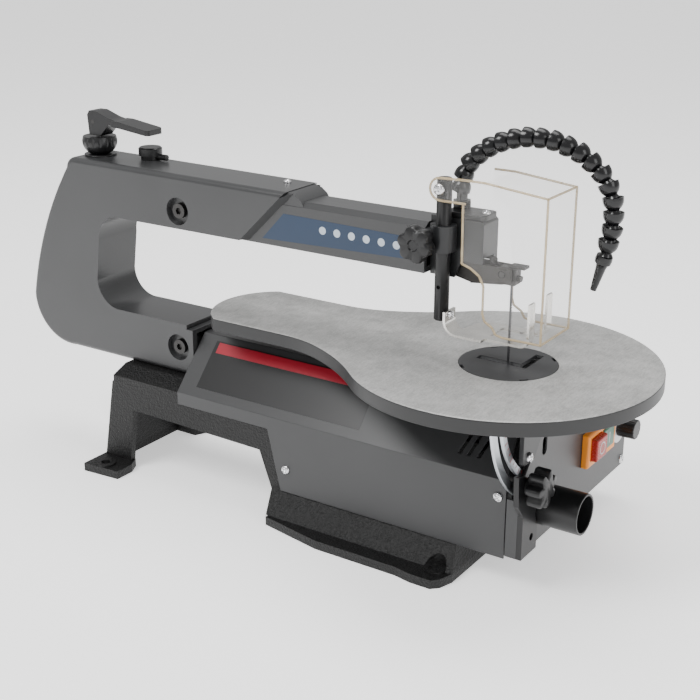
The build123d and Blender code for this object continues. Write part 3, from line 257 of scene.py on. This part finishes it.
def metal(name, shade, gloss, stretch):
    made = Finish(name, Metallic=1.0)
    brushed = made.noise(600.0, 4.0, 0.7, stretch)
    patch = made.noise(60.0, 3.0)
    worn = tuple(0.78 * c for c in shade)
    made.set(Base_Color=(brushed * 0.6 + patch * 0.4).soft(0.35, 0.65).blend(worn, shade),
             Roughness=gloss + 0.14 * brushed)
    made.bump(brushed, 0.06, 0.0002)
    keep(name, made)


plastic("black_moulding", (0.006, 0.006, 0.0065), 0.30)
plastic("black_gloss", (0.004, 0.004, 0.0045), 0.16, 900.0, 0.03)
plastic("insert_grey", (0.022, 0.0225, 0.024), 0.40)
plastic("stop_red", (0.33, 0.020, 0.014), 0.22, 900.0, 0.03)
plastic("start_green", (0.035, 0.13, 0.085), 0.25, 900.0, 0.03)
plastic("guard_orange", (0.80, 0.25, 0.02), 0.32)
plastic("ivory_dial", (0.66, 0.67, 0.68), 0.35)
plastic("soft_rubber", (0.014, 0.014, 0.014), 0.6, 500.0, 0.2)
metal("brushed_steel", (0.60, 0.60, 0.59), 0.22, (1.0, 1.0, 14.0))
metal("bright_strip", (0.80, 0.78, 0.74), 0.12, (6.0, 1.0, 1.0))
metal("dark_steel", (0.075, 0.073, 0.072), 0.36, (1.0, 1.0, 1.0))
metal("blade_steel", (0.11, 0.11, 0.115), 0.34, (1.0, 1.0, 9.0))
metal("zinc_plate", (0.82, 0.82, 0.83), 0.16, (1.0, 1.0, 1.0))
metal("bush_bronze", (0.45, 0.33, 0.16), 0.3, (1.0, 9.0, 1.0))
metal("cast_arm", (0.060, 0.057, 0.055), 0.40, (1.0, 1.0, 1.0))
metal("scale_silver", (0.60, 0.63, 0.66), 0.24, (1.0, 3.0, 3.0))

# %% [markdown]
# The guard is bent from clear sheet. Seen face on it almost vanishes; its sawn edges glow warm.

# %% Clear guard sheet
sheet = Finish("clear_sheet", Metallic=0.0, IOR=1.49, Roughness=0.07)
rim = sheet.place.node("ShaderNodeLayerWeight", {}, Blend=0.35)
grazing = Wire(sheet.tree, rim.outputs["Facing"])
haze = sheet.noise(40.0, 3.0)
sheet.set(Base_Color=grazing.soft(0.1, 0.8).blend((0.93, 0.92, 0.90), (0.86, 0.82, 0.72)),
          Alpha=0.025 + 0.012 * haze + 0.10 * grazing)
keep("clear_sheet", sheet)
amber = Finish("sawn_edge", Metallic=0.0, Roughness=0.25)
warm = amber.noise(120.0, 2.0)
amber.set(Base_Color=warm.blend((0.42, 0.32, 0.18), (0.62, 0.50, 0.32)), Alpha=0.55 + 0.25 * warm)
keep("sawn_edge", amber)

# %% [markdown]
# ## Eased copies of the CAD pieces
# A CAD mesh is loose triangles. A copy is merged, its flat faces are joined again, and a Bevel
# modifier eases the edges that turn sharply. Curved walls stay smooth because their facets turn
# little, and weighted normals keep the flat faces flat.

# %% Eased copies
SMOOTH_TURN = 32  # degrees: edges that turn more stay sharp
EASE_TURN = 34    # degrees: edges that turn more are bevelled
FLAT_TURN = 0.8   # degrees: facets that turn less are one flat face
MERGE = 1e-6


def settle(mesh, smooth_deg=SMOOTH_TURN):
    """Smooth shading everywhere but at real edges."""
    mesh.shade_smooth()
    mesh.set_sharp_from_angle(angle=radians(smooth_deg))


def applied(piece):
    """Bakes the modifiers of a piece into a plain mesh."""
    graph = bpy.context.evaluated_depsgraph_get()
    baked = bpy.data.meshes.new_from_object(piece.evaluated_get(graph))
    old = piece.data
    piece.modifiers.clear()
    piece.data = baked
    baked.name = piece.name
    if isinstance(old, bpy.types.Mesh):
        bpy.data.meshes.remove(old)
    return piece


def paint(piece, finish):
    piece.data.materials.clear()
    piece.data.materials.append(finishes[finish])
    return piece


def eased(node, name, finish, width):
    """Replaces a CAD node by a copy with eased edges."""
    mesh = nodes[node].data.copy()
    mesh.name = name
    shape = bmesh.new()
    shape.from_mesh(mesh)
    bmesh.ops.remove_doubles(shape, verts=shape.verts, dist=MERGE)
    bmesh.ops.dissolve_limit(shape, angle_limit=radians(FLAT_TURN), verts=shape.verts, edges=shape.edges)
    shape.to_mesh(mesh)
    shape.free()
    piece = bpy.data.objects.new(name, mesh)
    bpy.context.collection.objects.link(piece)
    if width:
        settle(mesh)
        ease = piece.modifiers.new("ease", "BEVEL")
        ease.width = width
        ease.segments = 2
        ease.limit_method = "ANGLE"
        ease.angle_limit = radians(EASE_TURN)
        ease.use_clamp_overlap = True
        flatten = piece.modifiers.new("flatten", "WEIGHTED_NORMAL")
        flatten.weight = 100
        flatten.keep_sharp = True
        applied(piece)
    else:
        settle(piece.data)
    paint(piece, finish)
    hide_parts(node)
    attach(piece, body_of[node])
    return piece


easing = [
    ("base_casting", "foot_casting", "wrinkle_black", 0.0016),
    ("frame_half_near", "near_casting", "charcoal", 0.0024),
    ("frame_half_far", "far_casting", "charcoal", 0.0024),
    ("side_cover_near", "near_cover", "charcoal_sheet", 0.0005),
    ("side_cover_far", "far_cover", "charcoal_sheet", 0.0005),
    ("motor_cover", "motor_case", "charcoal_sheet", 0.0007),
    ("front_plate", "control_plate", "charcoal_sheet", 0.0005),
    ("saw_table", "table_casting", "planed_table", 0.0005),
    ("table_insert", "insert_disc", "insert_grey", 0.0003),
    ("arm_nose", "nose_casting", "nose_grey", 0.0010),
    ("hose_mount_plate", "hose_plate", "black_moulding", 0.0006),
    ("upper_arm", "upper_rocker", "cast_arm", 0.0008),
    ("lower_arm", "lower_rocker", "cast_arm", 0.0008),
    ("upper_blade_clamp", "upper_clamp", "dark_steel", 0.0004),
    ("lower_blade_clamp", "lower_clamp", "dark_steel", 0.0004),
    ("tension_lever", "cam_lever", "black_moulding", 0.0010),
    ("frame_cap", "top_cap", "black_moulding", 0.0006),
    ("tilt_clamp_bracket", "clamp_block", "black_moulding", 0.0010),
    ("table_trunnion", "trunnion_plate", "black_moulding", 0.0008),
    ("holddown_foot", "spring_foot", "bright_strip", 0.0003),
    ("holddown_post", "guide_post", "black_moulding", 0.0),
    ("angle_scale", "tilt_scale", "scale_silver", 0.0003),
    ("switch_frame", "switch_surround", "guard_orange", 0.0008),
    ("stop_button", "stop_key", "stop_red", 0.0004),
    ("start_button", "start_key", "start_green", 0.0004),
    ("switch_body", "switch_block", "black_moulding", 0.0005),
    ("dust_outlet", "dust_tube", "black_moulding", 0.0005),
    ("hose_fitting", "hose_stem", "black_gloss", 0.0004),
    ("knob_seat", "knob_ring", "black_moulding", 0.0004),
    ("cable_gland", "inlet_gland", "black_moulding", 0.0005),
]
for node, name, finish, width in easing:
    eased(node, name, finish, width)
print("eased", len(easing))

plain = {
    "brushed_steel": ["motor_bracket", "motor_housing", "motor_crank", "connecting_rod",
                      "tension_rod"],
    "dark_steel": ["pivot_bolts", "tilt_bolt", "clamp_screws", "speed_control", "lever_pin", "arm_tip_stud"],
    "bush_bronze": ["upper_arm_bush", "lower_arm_bush"],
    "soft_rubber": ["air_bellows", "air_tube"],
    "ivory_dial": ["speed_dial"],
    "black_moulding": ["speed_knob", "tension_knob"],
}
for finish, names in plain.items():
    for node in names:
        paint(nodes[node], finish)
print("kept", sum(len(names) for names in plain.values()))

# %% [markdown]
# ## Helpers for new pieces
# New pieces start as plain meshes made from faces in world metres.

# %% Mesh helpers


def solid(name, finish, body, build, *replaced, smooth=SMOOTH_TURN):
    """Makes a mesh piece from a bmesh recipe and joins it to its body."""
    mesh = bpy.data.meshes.new(name)
    shape = bmesh.new()
    build(shape)
    bmesh.ops.remove_doubles(shape, verts=shape.verts, dist=1e-7)
    bmesh.ops.recalc_face_normals(shape, faces=shape.faces)
    shape.to_mesh(mesh)
    shape.free()
    piece = bpy.data.objects.new(name, mesh)
    bpy.context.collection.objects.link(piece)
    settle(mesh, smooth)
    paint(piece, finish)
    if replaced:
        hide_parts(*replaced)
    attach(piece, body)
    return piece


def turned(shape, profile, centre, axis, steps=48, wave=None):
    """Lathe: profile is (radius, along) pairs; wave(angle) scales the radius for flutes."""
    axis = Vector(axis).normalized()
    side = axis.orthogonal().normalized()
    other = axis.cross(side)
    rings = []
    for radius, along in profile:
        ring = []
        for i in range(steps):
            a = 2 * pi * i / steps
            r = radius * (wave(a, along) if wave else 1.0)
            ring.append(shape.verts.new(centre + axis * along + (side * cos(a) + other * sin(a)) * r))
        rings.append(ring)
    for low, high in zip(rings, rings[1:]):
        for i in range(steps):
            shape.faces.new((low[i], low[(i + 1) % steps], high[(i + 1) % steps], high[i]))
    shape.faces.new(rings[0])
    shape.faces.new(rings[-1])


def slab(shape, corners, thickness):
    """A thin plate: its outline, pushed along the thickness vector."""
    thickness = Vector(thickness)
    low = [shape.verts.new(Vector(c)) for c in corners]
    high = [shape.verts.new(Vector(c) + thickness) for c in corners]
    shape.faces.new(low)
    shape.faces.new(list(reversed(high)))
    count = len(low)
    for i in range(count):
        shape.faces.new((low[i], low[(i + 1) % count], high[(i + 1) % count], high[i]))


def rel(x, y, z):
    """A point counted from the blade line at table height, in millimetres."""
    return Vector((BLADE_X + x / 1000, y / 1000, TABLE_Z + z / 1000))


# %% [markdown]
# ## Screws
# Pan heads with a cross recess: a domed lathe profile whose points near the cross are sunk.

# %% Pan-head screws


def pan_head(shape, centre, axis, radius, height):
    """A domed head with a sunk cross."""
    axis = Vector(axis).normalized()
    steps = 32
    side = axis.orthogonal().normalized()
    other = axis.cross(side)
    rings = []
    for r, h in ((1.0, 0.0), (1.0, 0.35), (0.92, 0.68), (0.72, 0.88), (0.5, 0.96), (0.3, 1.0), (0.1, 1.0)):
        ring = []
        for i in range(steps):
            a = 2 * pi * i / steps
            slot = min(abs(sin(a)), abs(cos(a))) * r < 0.11 and r < 0.6
            lift = h - (0.42 if slot else 0.0)
            out = (side * cos(a) + other * sin(a)) * r * radius
            ring.append(shape.verts.new(centre + axis * lift * height + out))
        rings.append(ring)
    for low, high in zip(rings, rings[1:]):
        for i in range(steps):
            shape.faces.new((low[i], low[(i + 1) % steps], high[(i + 1) % steps], high[i]))
    shape.faces.new(rings[0])
    shape.faces.new(rings[-1])


def screws(name, node, heads):
    """Replaces a screw node: heads are (point, axis, radius, height, shank length)."""

    def build(shape):
        for centre, axis, radius, height, shank in heads:
            pan_head(shape, centre, axis, radius, height)
            if shank:
                turned(shape, [(0.0016, -shank), (0.0016, 0.0)], centre, axis, 16)

    solid(name, "zinc_plate", body_of[node], build, node, smooth=45)


cover_y = Vector(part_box("side_cover_near")[0]).y
plate_x = Vector(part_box("dust_outlet")[0]).x
screws("case_screws", "cover_screws", [
    (Vector((BLADE_X - 0.184, cover_y, TABLE_Z - 0.122)), (0, -1, 0), 0.0042, 0.0022, 0),
    (Vector((BLADE_X + 0.022, cover_y, TABLE_Z - 0.091)), (0, -1, 0), 0.0042, 0.0022, 0),
    (Vector((plate_x, 0.154, TABLE_Z - 0.132)), (1, 0, 0), 0.0042, 0.0022, 0)])
low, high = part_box("guard_screw")
screws("guard_pivot_screw", "guard_screw", [
    (Vector((middle("guard_screw").x, low[1] + 0.0026, middle("guard_screw").z)), (0, -1, 0), 0.0046, 0.0026,
     high[1] - low[1] - 0.0026)])
low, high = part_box("foot_screw")
screws("foot_pivot_screw", "foot_screw", [
    (Vector((high[0] - 0.0024, middle("foot_screw").y, middle("foot_screw").z)), (1, 0, 0), 0.0036, 0.0024,
     high[0] - low[0] - 0.0024)])
low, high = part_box("trunnion_screw")
screws("trunnion_head", "trunnion_screw", [
    (Vector((high[0] - 0.0026, middle("trunnion_screw").y, middle("trunnion_screw").z)), (1, 0, 0), 0.0042,
     0.0026, high[0] - low[0] - 0.0026)])
low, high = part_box("top_screws")
screws("arm_top_screws", "top_screws", [
    (Vector((high[0] - 0.0034, 0.0, high[2] - 0.0022)), (0, 0, 1), 0.0034, 0.0022, 0),
    (Vector((low[0] + 0.0034, 0.008, low[2])), (0, 0, 1), 0.0034, 0.0022, 0)])

# %% [markdown]
# ## Jointed air hose
# Each link is a cup that holds the ball of the next. One cup is drawn once, and Geometry Nodes sets
# it along the hose's curve, turned to the curve's direction.

# %% One cup and its curve
CUPS = 19
hose_centre_y = middle("hose_links").y
hose_route = [(-51, 138), (-47, 151), (-35, 164), (-12, 176), (13, 180), (37, 176), (58, 165), (72, 148),
              (76, 127), (73, 104)]


def cup(shape):
    profile = [(0.0, -4.2), (6.4, -4.8), (7.0, -6.2), (8.0, -6.2), (8.0, -5.0), (7.8, -2.6), (7.1, -0.4),
               (5.9, 1.5), (4.5, 2.8), (4.1, 3.6), (4.5, 4.6), (5.2, 5.8), (4.4, 7.4), (0.0, 8.2)]
    turned(shape, [(max(r, 0.05) / 1000, a / 1000) for r, a in profile], Vector((0, 0, 0)), (0, 0, 1), 28)


cup_mesh = bpy.data.meshes.new("cup_pattern")
shape = bmesh.new()
cup(shape)
bmesh.ops.recalc_face_normals(shape, faces=shape.faces)
shape.to_mesh(cup_mesh)
shape.free()
settle(cup_mesh, 40)
cup_pattern = bpy.data.objects.new("cup_pattern", cup_mesh)

line = bpy.data.curves.new("hose_line", "CURVE")
line.dimensions = "3D"
line.resolution_u = 24
spline = line.splines.new("BEZIER")
spline.bezier_points.add(len(hose_route) - 1)
for point, (x, z) in zip(spline.bezier_points, hose_route):
    point.co = rel(x, hose_centre_y * 1000, z)
    point.handle_left_type = "AUTO"
    point.handle_right_type = "AUTO"
hose = bpy.data.objects.new("hose_cups", line)
bpy.context.collection.objects.link(hose)

# %% The tree that repeats the cup along the curve


def tree_of(name, inputs):
    """A Geometry Nodes group with a geometry in and out and the named inputs."""
    group = bpy.data.node_groups.new(name, "GeometryNodeTree")
    group.interface.new_socket("Geometry", in_out="INPUT", socket_type="NodeSocketGeometry")
    for label, kind in inputs:
        group.interface.new_socket(label, in_out="INPUT", socket_type=kind)
    group.interface.new_socket("Geometry", in_out="OUTPUT", socket_type="NodeSocketGeometry")
    return group, group.nodes.new("NodeGroupInput"), group.nodes.new("NodeGroupOutput")


def socket_id(group, label):
    return next(i.identifier for i in group.interface.items_tree
                if i.item_type == "SOCKET" and i.in_out == "INPUT" and i.name == label)


links_tree, source, result = tree_of("links_along", [("Cup", "NodeSocketObject"), ("Count", "NodeSocketInt"),
                                                     ("Finish", "NodeSocketMaterial")])
make = links_tree.nodes.new
join = links_tree.links.new
points = make("GeometryNodeCurveToPoints")
points.mode = "COUNT"
info = make("GeometryNodeObjectInfo")
copies = make("GeometryNodeInstanceOnPoints")
turn = make("FunctionNodeAlignRotationToVector")
turn.axis = "Z"
real = make("GeometryNodeRealizeInstances")
coat = make("GeometryNodeSetMaterial")
join(source.outputs["Geometry"], points.inputs["Curve"])
join(source.outputs["Count"], points.inputs["Count"])
join(source.outputs["Cup"], info.inputs["Object"])
join(points.outputs["Points"], copies.inputs["Points"])
join(points.outputs["Tangent"], turn.inputs["Vector"])
join(turn.outputs["Rotation"], copies.inputs["Rotation"])
join(info.outputs["Geometry"], copies.inputs["Instance"])
join(copies.outputs["Instances"], real.inputs["Geometry"])
join(real.outputs["Geometry"], coat.inputs["Geometry"])
join(source.outputs["Finish"], coat.inputs["Material"])
join(coat.outputs["Geometry"], result.inputs["Geometry"])


def run_tree(holder, group, values):
    """Runs a tree on an object and returns the result as a plain mesh."""
    modifier = holder.modifiers.new("repeat", "NODES")
    modifier.node_group = group
    for label, value in values.items():
        modifier[socket_id(group, label)] = value
    graph = bpy.context.evaluated_depsgraph_get()
    baked = bpy.data.meshes.new_from_object(holder.evaluated_get(graph))
    holder.modifiers.remove(modifier)
    return baked


link_mesh = run_tree(hose, links_tree, {"Cup": cup_pattern, "Count": CUPS, "Finish": finishes["black_gloss"]})
bpy.data.objects.remove(hose)
hose_piece = bpy.data.objects.new("hose_chain", link_mesh)
bpy.context.collection.objects.link(hose_piece)
settle(link_mesh, 40)
paint(hose_piece, "black_gloss")
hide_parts("hose_links")
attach(hose_piece, body_of["hose_links"])
print("hose faces", len(link_mesh.polygons))

low, high = (Vector(c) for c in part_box("hose_nozzle"))
tip = rel(64, hose_centre_y * 1000, 70)
root = rel(71.6, hose_centre_y * 1000, 98)
reach = (tip - root).length
tip_profile = [(0.0062, 0.0), (0.0066, 0.003), (0.0062, 0.006), (0.0046, 0.0075), (0.0040, 0.010),
               (0.0024, reach), (0.0016, reach), (0.0016, reach - 0.003)]
solid("hose_tip", "black_gloss", "air_hose",
      lambda shape: turned(shape, tip_profile, root, tip - root, 32), "hose_nozzle")
bpy.data.objects.remove(cup_pattern)

# %% [markdown]
# ## Knobs
# The post and tilt knobs have lobes that a finger can pull on.

# %% Lobed knobs


def lobes(count, depth, start=0.0):
    """Radius factor of a knob with rounded lobes."""
    return lambda a, along: 1.0 - depth * (0.5 - 0.5 * cos(count * a + start)) ** 1.6


centre = middle("post_clamp_knob")
low, high = (Vector(c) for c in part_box("post_clamp_knob"))
back = high.y - low.y
front = Vector((centre.x, low.y, centre.z))


def post_knob(shape):
    turned(shape, [(0.0044, 0.0014), (0.0048, 0.0003), (0.0125, 0.0), (0.0142, 0.0008), (0.0150, 0.0024),
                   (0.0150, 0.0096), (0.0142, 0.0112), (0.0120, 0.0120)], front, (0, 1, 0), 96,
           lambda a, along: lobes(6, 0.17)(a, along) if along > 0.0006 or along == 0.0 else 1.0)
    turned(shape, [(0.0075, 0.0118), (0.0075, 0.0150)], front, (0, 1, 0), 40)
    turned(shape, [(0.0025, 0.0148), (0.0025, back)], front, (0, 1, 0), 20)


solid("post_hand_knob", "black_moulding", "post_knob", post_knob, "post_clamp_knob")

centre = middle("tilt_knob")
low, high = (Vector(c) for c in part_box("tilt_knob"))


def tilt_knob(shape):
    face = Vector((high.x, centre.y, centre.z))
    turned(shape, [(0.0118, 0.0), (0.0150, 0.0010), (0.0160, 0.0026), (0.0160, 0.0120), (0.0150, 0.0135),
                   (0.0078, 0.0136), (0.0078, high.x - low.x)], face, (-1, 0, 0), 112,
           lambda a, along: 1.0 if along > 0.0135 else lobes(7, 0.34)(a, along))


solid("tilt_hand_knob", "black_moulding", "tilt_knob", tilt_knob, "tilt_knob")

# %% [markdown]
# ## Blade
# A scroll saw blade is 127 mm of thin strip with fine teeth that face the operator and cut downwards.

# %% Toothed blade
low, high = (Vector(c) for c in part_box("blade"))
TOOTH = 0.0022


def toothed(shape):
    edge = [Vector((low.x, 0, low.z)), Vector((high.x - 0.0005, 0, low.z))]
    z = low.z + 0.004
    while z < high.z - 0.006:
        edge += [Vector((high.x, 0, z)), Vector((high.x - 0.0008, 0, z + 0.0004)),
                 Vector((high.x - 0.0007, 0, z + TOOTH * 0.75))]
        z += TOOTH
    edge += [Vector((high.x - 0.0005, 0, high.z)), Vector((low.x, 0, high.z))]
    slab(shape, [point - Vector((0, (high.y - low.y) / 2, 0)) for point in edge], (0, high.y - low.y, 0))


solid("saw_blade", "blade_steel", "blade", toothed, "blade")

# %% [markdown]
# ## Guard
# The box guard: thin clear sheet, with the sawn edges as separate fine strips that catch light.

# %% Guard and its edges
eased("blade_guard", "guard_box", "clear_sheet", 0.0)


def edge_rod(shape, a, b, radius=0.0010):
    turned(shape, [(radius, 0.0), (radius, (b - a).length)], a, b - a, 8)


low, high = (Vector(c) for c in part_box("blade_guard"))
wall = 0.00075
near, far = low.y + wall, high.y - wall
rim_paths = []
for y in (near, far):
    mm = y * 1000
    rim_paths.append([rel(-12, mm, 68), rel(-12, mm, 46), rel(-10, mm, 40), rel(-3, mm, 36), rel(0, mm, 31),
                      rel(6, mm, 29.6), rel(38.3, mm, 29.6)])
near_mm = near * 1000
rim_paths.append([rel(-32, near_mm, 130), rel(-31.4, near_mm, 83), rel(-24, near_mm, 80.6),
                  rel(-16, near_mm, 75.6), rel(-12, near_mm, 68)])
rim_paths.append([rel(-32, near_mm, 148.4), rel(-14, near_mm, 148.4), rel(38.4, near_mm, 142.8)])
rim_paths.append([rel(-32, far * 1000, 148.4), rel(-14, far * 1000, 148.4), rel(38.4, far * 1000, 142.8)])
rim_paths.append([rel(38.3, near_mm, 29.6), rel(38.3, near_mm, 142.9), rel(38.3, far * 1000, 142.9),
                  rel(38.3, far * 1000, 29.6), rel(38.3, near_mm, 29.6)])


ear = middle("guard_screw")
rim_paths.append([rel(-30, near_mm, 130.2)] + [
    Vector((ear.x, near, ear.z)) + 0.0088 * Vector((-sin(a), 0, -cos(a)))
    for a in (radians(18 * i) for i in range(11))] + [rel(-32, near_mm, 148.4)])


def rims(shape):
    for path in rim_paths:
        for a, b in zip(path, path[1:]):
            edge_rod(shape, a, b)


solid("guard_edges", "sawn_edge", "guard", rims)

# %% [markdown]
# ## Plain stickers
# The arm carries a blue sticker and the cover a black one with a red band. Both stay free of words:
# small rounded marks stand for the pictograms.

# %% Sticker finish and panels


def sticker(name, ground, mark):
    made = Finish(name, Metallic=0.0, Roughness=0.32)
    fade = made.noise(24.0, 2.0)
    made.set(Base_Color=fade.blend(ground, tuple(0.8 * c for c in ground)))
    keep(name, made)
    inked = Finish(name + "_mark", Metallic=0.0, Roughness=0.32)
    wear = inked.noise(300.0, 3.0)
    inked.set(Base_Color=wear.blend(mark, tuple(0.85 * c for c in mark)))
    keep(name + "_mark", inked)


sticker("arm_blue", (0.006, 0.026, 0.066), (0.50, 0.56, 0.62))
sticker("cover_black", (0.004, 0.004, 0.0045), (0.36, 0.010, 0.026))
LABEL_Y = -20.15
arm_outline = [(-206, 97.5), (-75, 95.5), (-75, 77.5), (-229, 73)]
solid("arm_sticker", "arm_blue", "frame", lambda shape: slab(
    shape, [rel(x, LABEL_Y, z) for x, z in arm_outline], (0, 0.0003, 0)))


def marks(shape):
    for i in range(6):
        turned(shape, [(0.0034, 0.0), (0.0034, 0.0001)], rel(-166 + 14.4 * i, LABEL_Y - 0.03, 88.5 - 0.3 * i),
               (0, 1, 0), 24)


solid("arm_sticker_marks", "arm_blue_mark", "frame", marks)


def slope(x, y):
    """A point on the near cover's slope."""
    k = (76 - 30) / (52 - 10)
    return rel(x, y, -30 + k * (y + 10) + 0.2)


solid("cover_sticker", "cover_black", "frame", lambda shape: slab(
    shape, [slope(-288, -46), slope(-112, -46), slope(-112, -14), slope(-288, -14)], (0, 0.0001, -0.0001)))
solid("cover_sticker_band", "cover_black_mark", "frame", lambda shape: slab(
    shape, [slope(-284, -22) + Vector((0, 0, 0.0002)), slope(-116, -22) + Vector((0, 0, 0.0002)),
            slope(-116, -15) + Vector((0, 0, 0.0002)), slope(-284, -15) + Vector((0, 0, 0.0002))],
    (0, 0.0001, -0.0001)))

# %% [markdown]
# ## Button marks
# The stop button carries a ring and the start button a bar, moulded in white.

# %% Ring and bar
white_ink = Finish("white_ink", Metallic=0.0, Roughness=0.35)
wear = white_ink.noise(700.0, 2.0)
white_ink.set(Base_Color=wear.blend((0.50, 0.50, 0.50), (0.62, 0.62, 0.62)))
keep("white_ink", white_ink)


def ring_mark(shape):
    centre = middle("stop_button")
    face = Vector((Vector(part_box("stop_button")[1]).x + 0.00002, centre.y, centre.z))
    steps = 40
    rings = []
    for radius, lift in ((0.0046, 0.0), (0.0046, 0.0001), (0.0056, 0.0001), (0.0056, 0.0)):
        turns = [2 * pi * i / steps for i in range(steps)]
        rings.append([shape.verts.new(face + Vector((lift, radius * sin(a), radius * cos(a))))
                      for a in turns])
    for a, b in zip(rings, rings[1:] + rings[:1]):
        for i in range(steps):
            shape.faces.new((a[i], a[(i + 1) % steps], b[(i + 1) % steps], b[i]))


def bar_mark(shape):
    centre = middle("start_button")
    x = Vector(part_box("start_button")[1]).x + 0.00002
    corners = [(-0.0006, -0.0050), (0.0006, -0.0050), (0.0006, 0.0050), (-0.0006, 0.0050)]
    slab(shape, [Vector((x, centre.y + y, centre.z + z)) for y, z in corners], (0.0001, 0, 0))


solid("stop_ring", "white_ink", "stop_button", ring_mark)
solid("start_bar", "white_ink", "start_button", bar_mark)

# %% [markdown]
# ## Tilt scale
# Fine red strokes round the tilt axis, every third one longer.

# %% Strokes on the scale
STROKES = 12
scale_x = Vector(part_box("angle_scale")[1]).x
red_ink = Finish("scale_ink", Metallic=0.0, Roughness=0.5)
speck = red_ink.noise(900.0, 2.0)
red_ink.set(Base_Color=speck.blend((0.30, 0.02, 0.02), (0.42, 0.05, 0.04)))
keep("scale_ink", red_ink)


def strokes(shape):
    for i in range(STROKES):
        down = radians(10 + 4.5 * i)
        inner = 80.8
        outer = 85.2 if i % 3 == 0 else 83.2
        across = Vector((0, sin(down), -cos(down))) * 0.00028
        start = rel(0, -inner * cos(down), -inner * sin(down))
        end = rel(0, -outer * cos(down), -outer * sin(down))
        start.x = end.x = scale_x + 0.00005
        slab(shape, [start - across, end - across, end + across, start + across], (0.00008, 0, 0))


solid("scale_strokes", "scale_ink", "table", strokes)

# %% [markdown]
# ## Floor, light and camera
# A pale floor under broad soft lights, as in a product studio.

# %% Studio


def studio_floor():
    mesh = bpy.data.meshes.new("studio_floor")
    half = 6.0
    mesh.from_pydata([(-half, -half, 0), (half, -half, 0), (half, half, 0), (-half, half, 0)], [],
                     [(0, 1, 2, 3)])
    floor = bpy.data.objects.new("studio_floor", mesh)
    bpy.context.collection.objects.link(floor)
    made = Finish("pale_floor", Metallic=0.0, Roughness=0.6)
    drift = made.noise(1.0, 2.0)
    made.set(Base_Color=drift.blend((0.93, 0.93, 0.93), (0.96, 0.96, 0.96)))
    made.shader.inputs["Emission Color"].default_value = (1.0, 1.0, 1.0, 1.0)
    made.shader.inputs["Emission Strength"].default_value = 0.75
    mesh.materials.append(made.material)


studio_floor()
world = bpy.data.worlds.new("studio_air")
bpy.context.scene.world = world
world.use_nodes = True
air = world.node_tree.nodes["Background"]
air.inputs[0].default_value = (1.0, 1.0, 1.0, 1.0)
air.inputs[1].default_value = 0.68


def softbox(name, place, target, size, power):
    lamp = bpy.data.lights.new(name, "AREA")
    lamp.shape = "RECTANGLE"
    lamp.size, lamp.size_y = size
    lamp.energy = power
    holder = bpy.data.objects.new(name, lamp)
    bpy.context.collection.objects.link(holder)
    holder.location = place
    holder.rotation_euler = (Vector(target) - Vector(place)).to_track_quat("-Z", "Y").to_euler()


softbox("key_light", (-0.5, -1.3, 1.9), (0.0, 0.0, 0.15), (0.9, 0.9), 38)
softbox("top_light", (0.1, 0.5, 2.0), (0.0, 0.0, 0.1), (1.6, 1.0), 24)
softbox("front_light", (1.9, -0.5, 0.9), (0.1, 0.0, 0.15), (0.8, 1.2), 11)

# %% Camera
camera_data = bpy.data.cameras.new("studio_camera")
camera_data.lens = 65.81
camera_data.sensor_width = 36.0
camera = bpy.data.objects.new("studio_camera", camera_data)
bpy.context.collection.objects.link(camera)
azimuth, elevation, roll = radians(33.53), radians(19.94), radians(0.15)
back_axis = Vector((sin(azimuth) * cos(elevation), -cos(azimuth) * cos(elevation), sin(elevation)))
right = Vector((0, 0, 1)).cross(back_axis).normalized()
up = back_axis.cross(right)
right, up = cos(roll) * right + sin(roll) * up, -sin(roll) * right + cos(roll) * up
turn_matrix = Matrix((right, up, back_axis)).transposed().to_4x4()
camera.matrix_world = Matrix.Translation((0.62794, -0.86707, 0.52752)) @ turn_matrix
bpy.context.scene.camera = camera
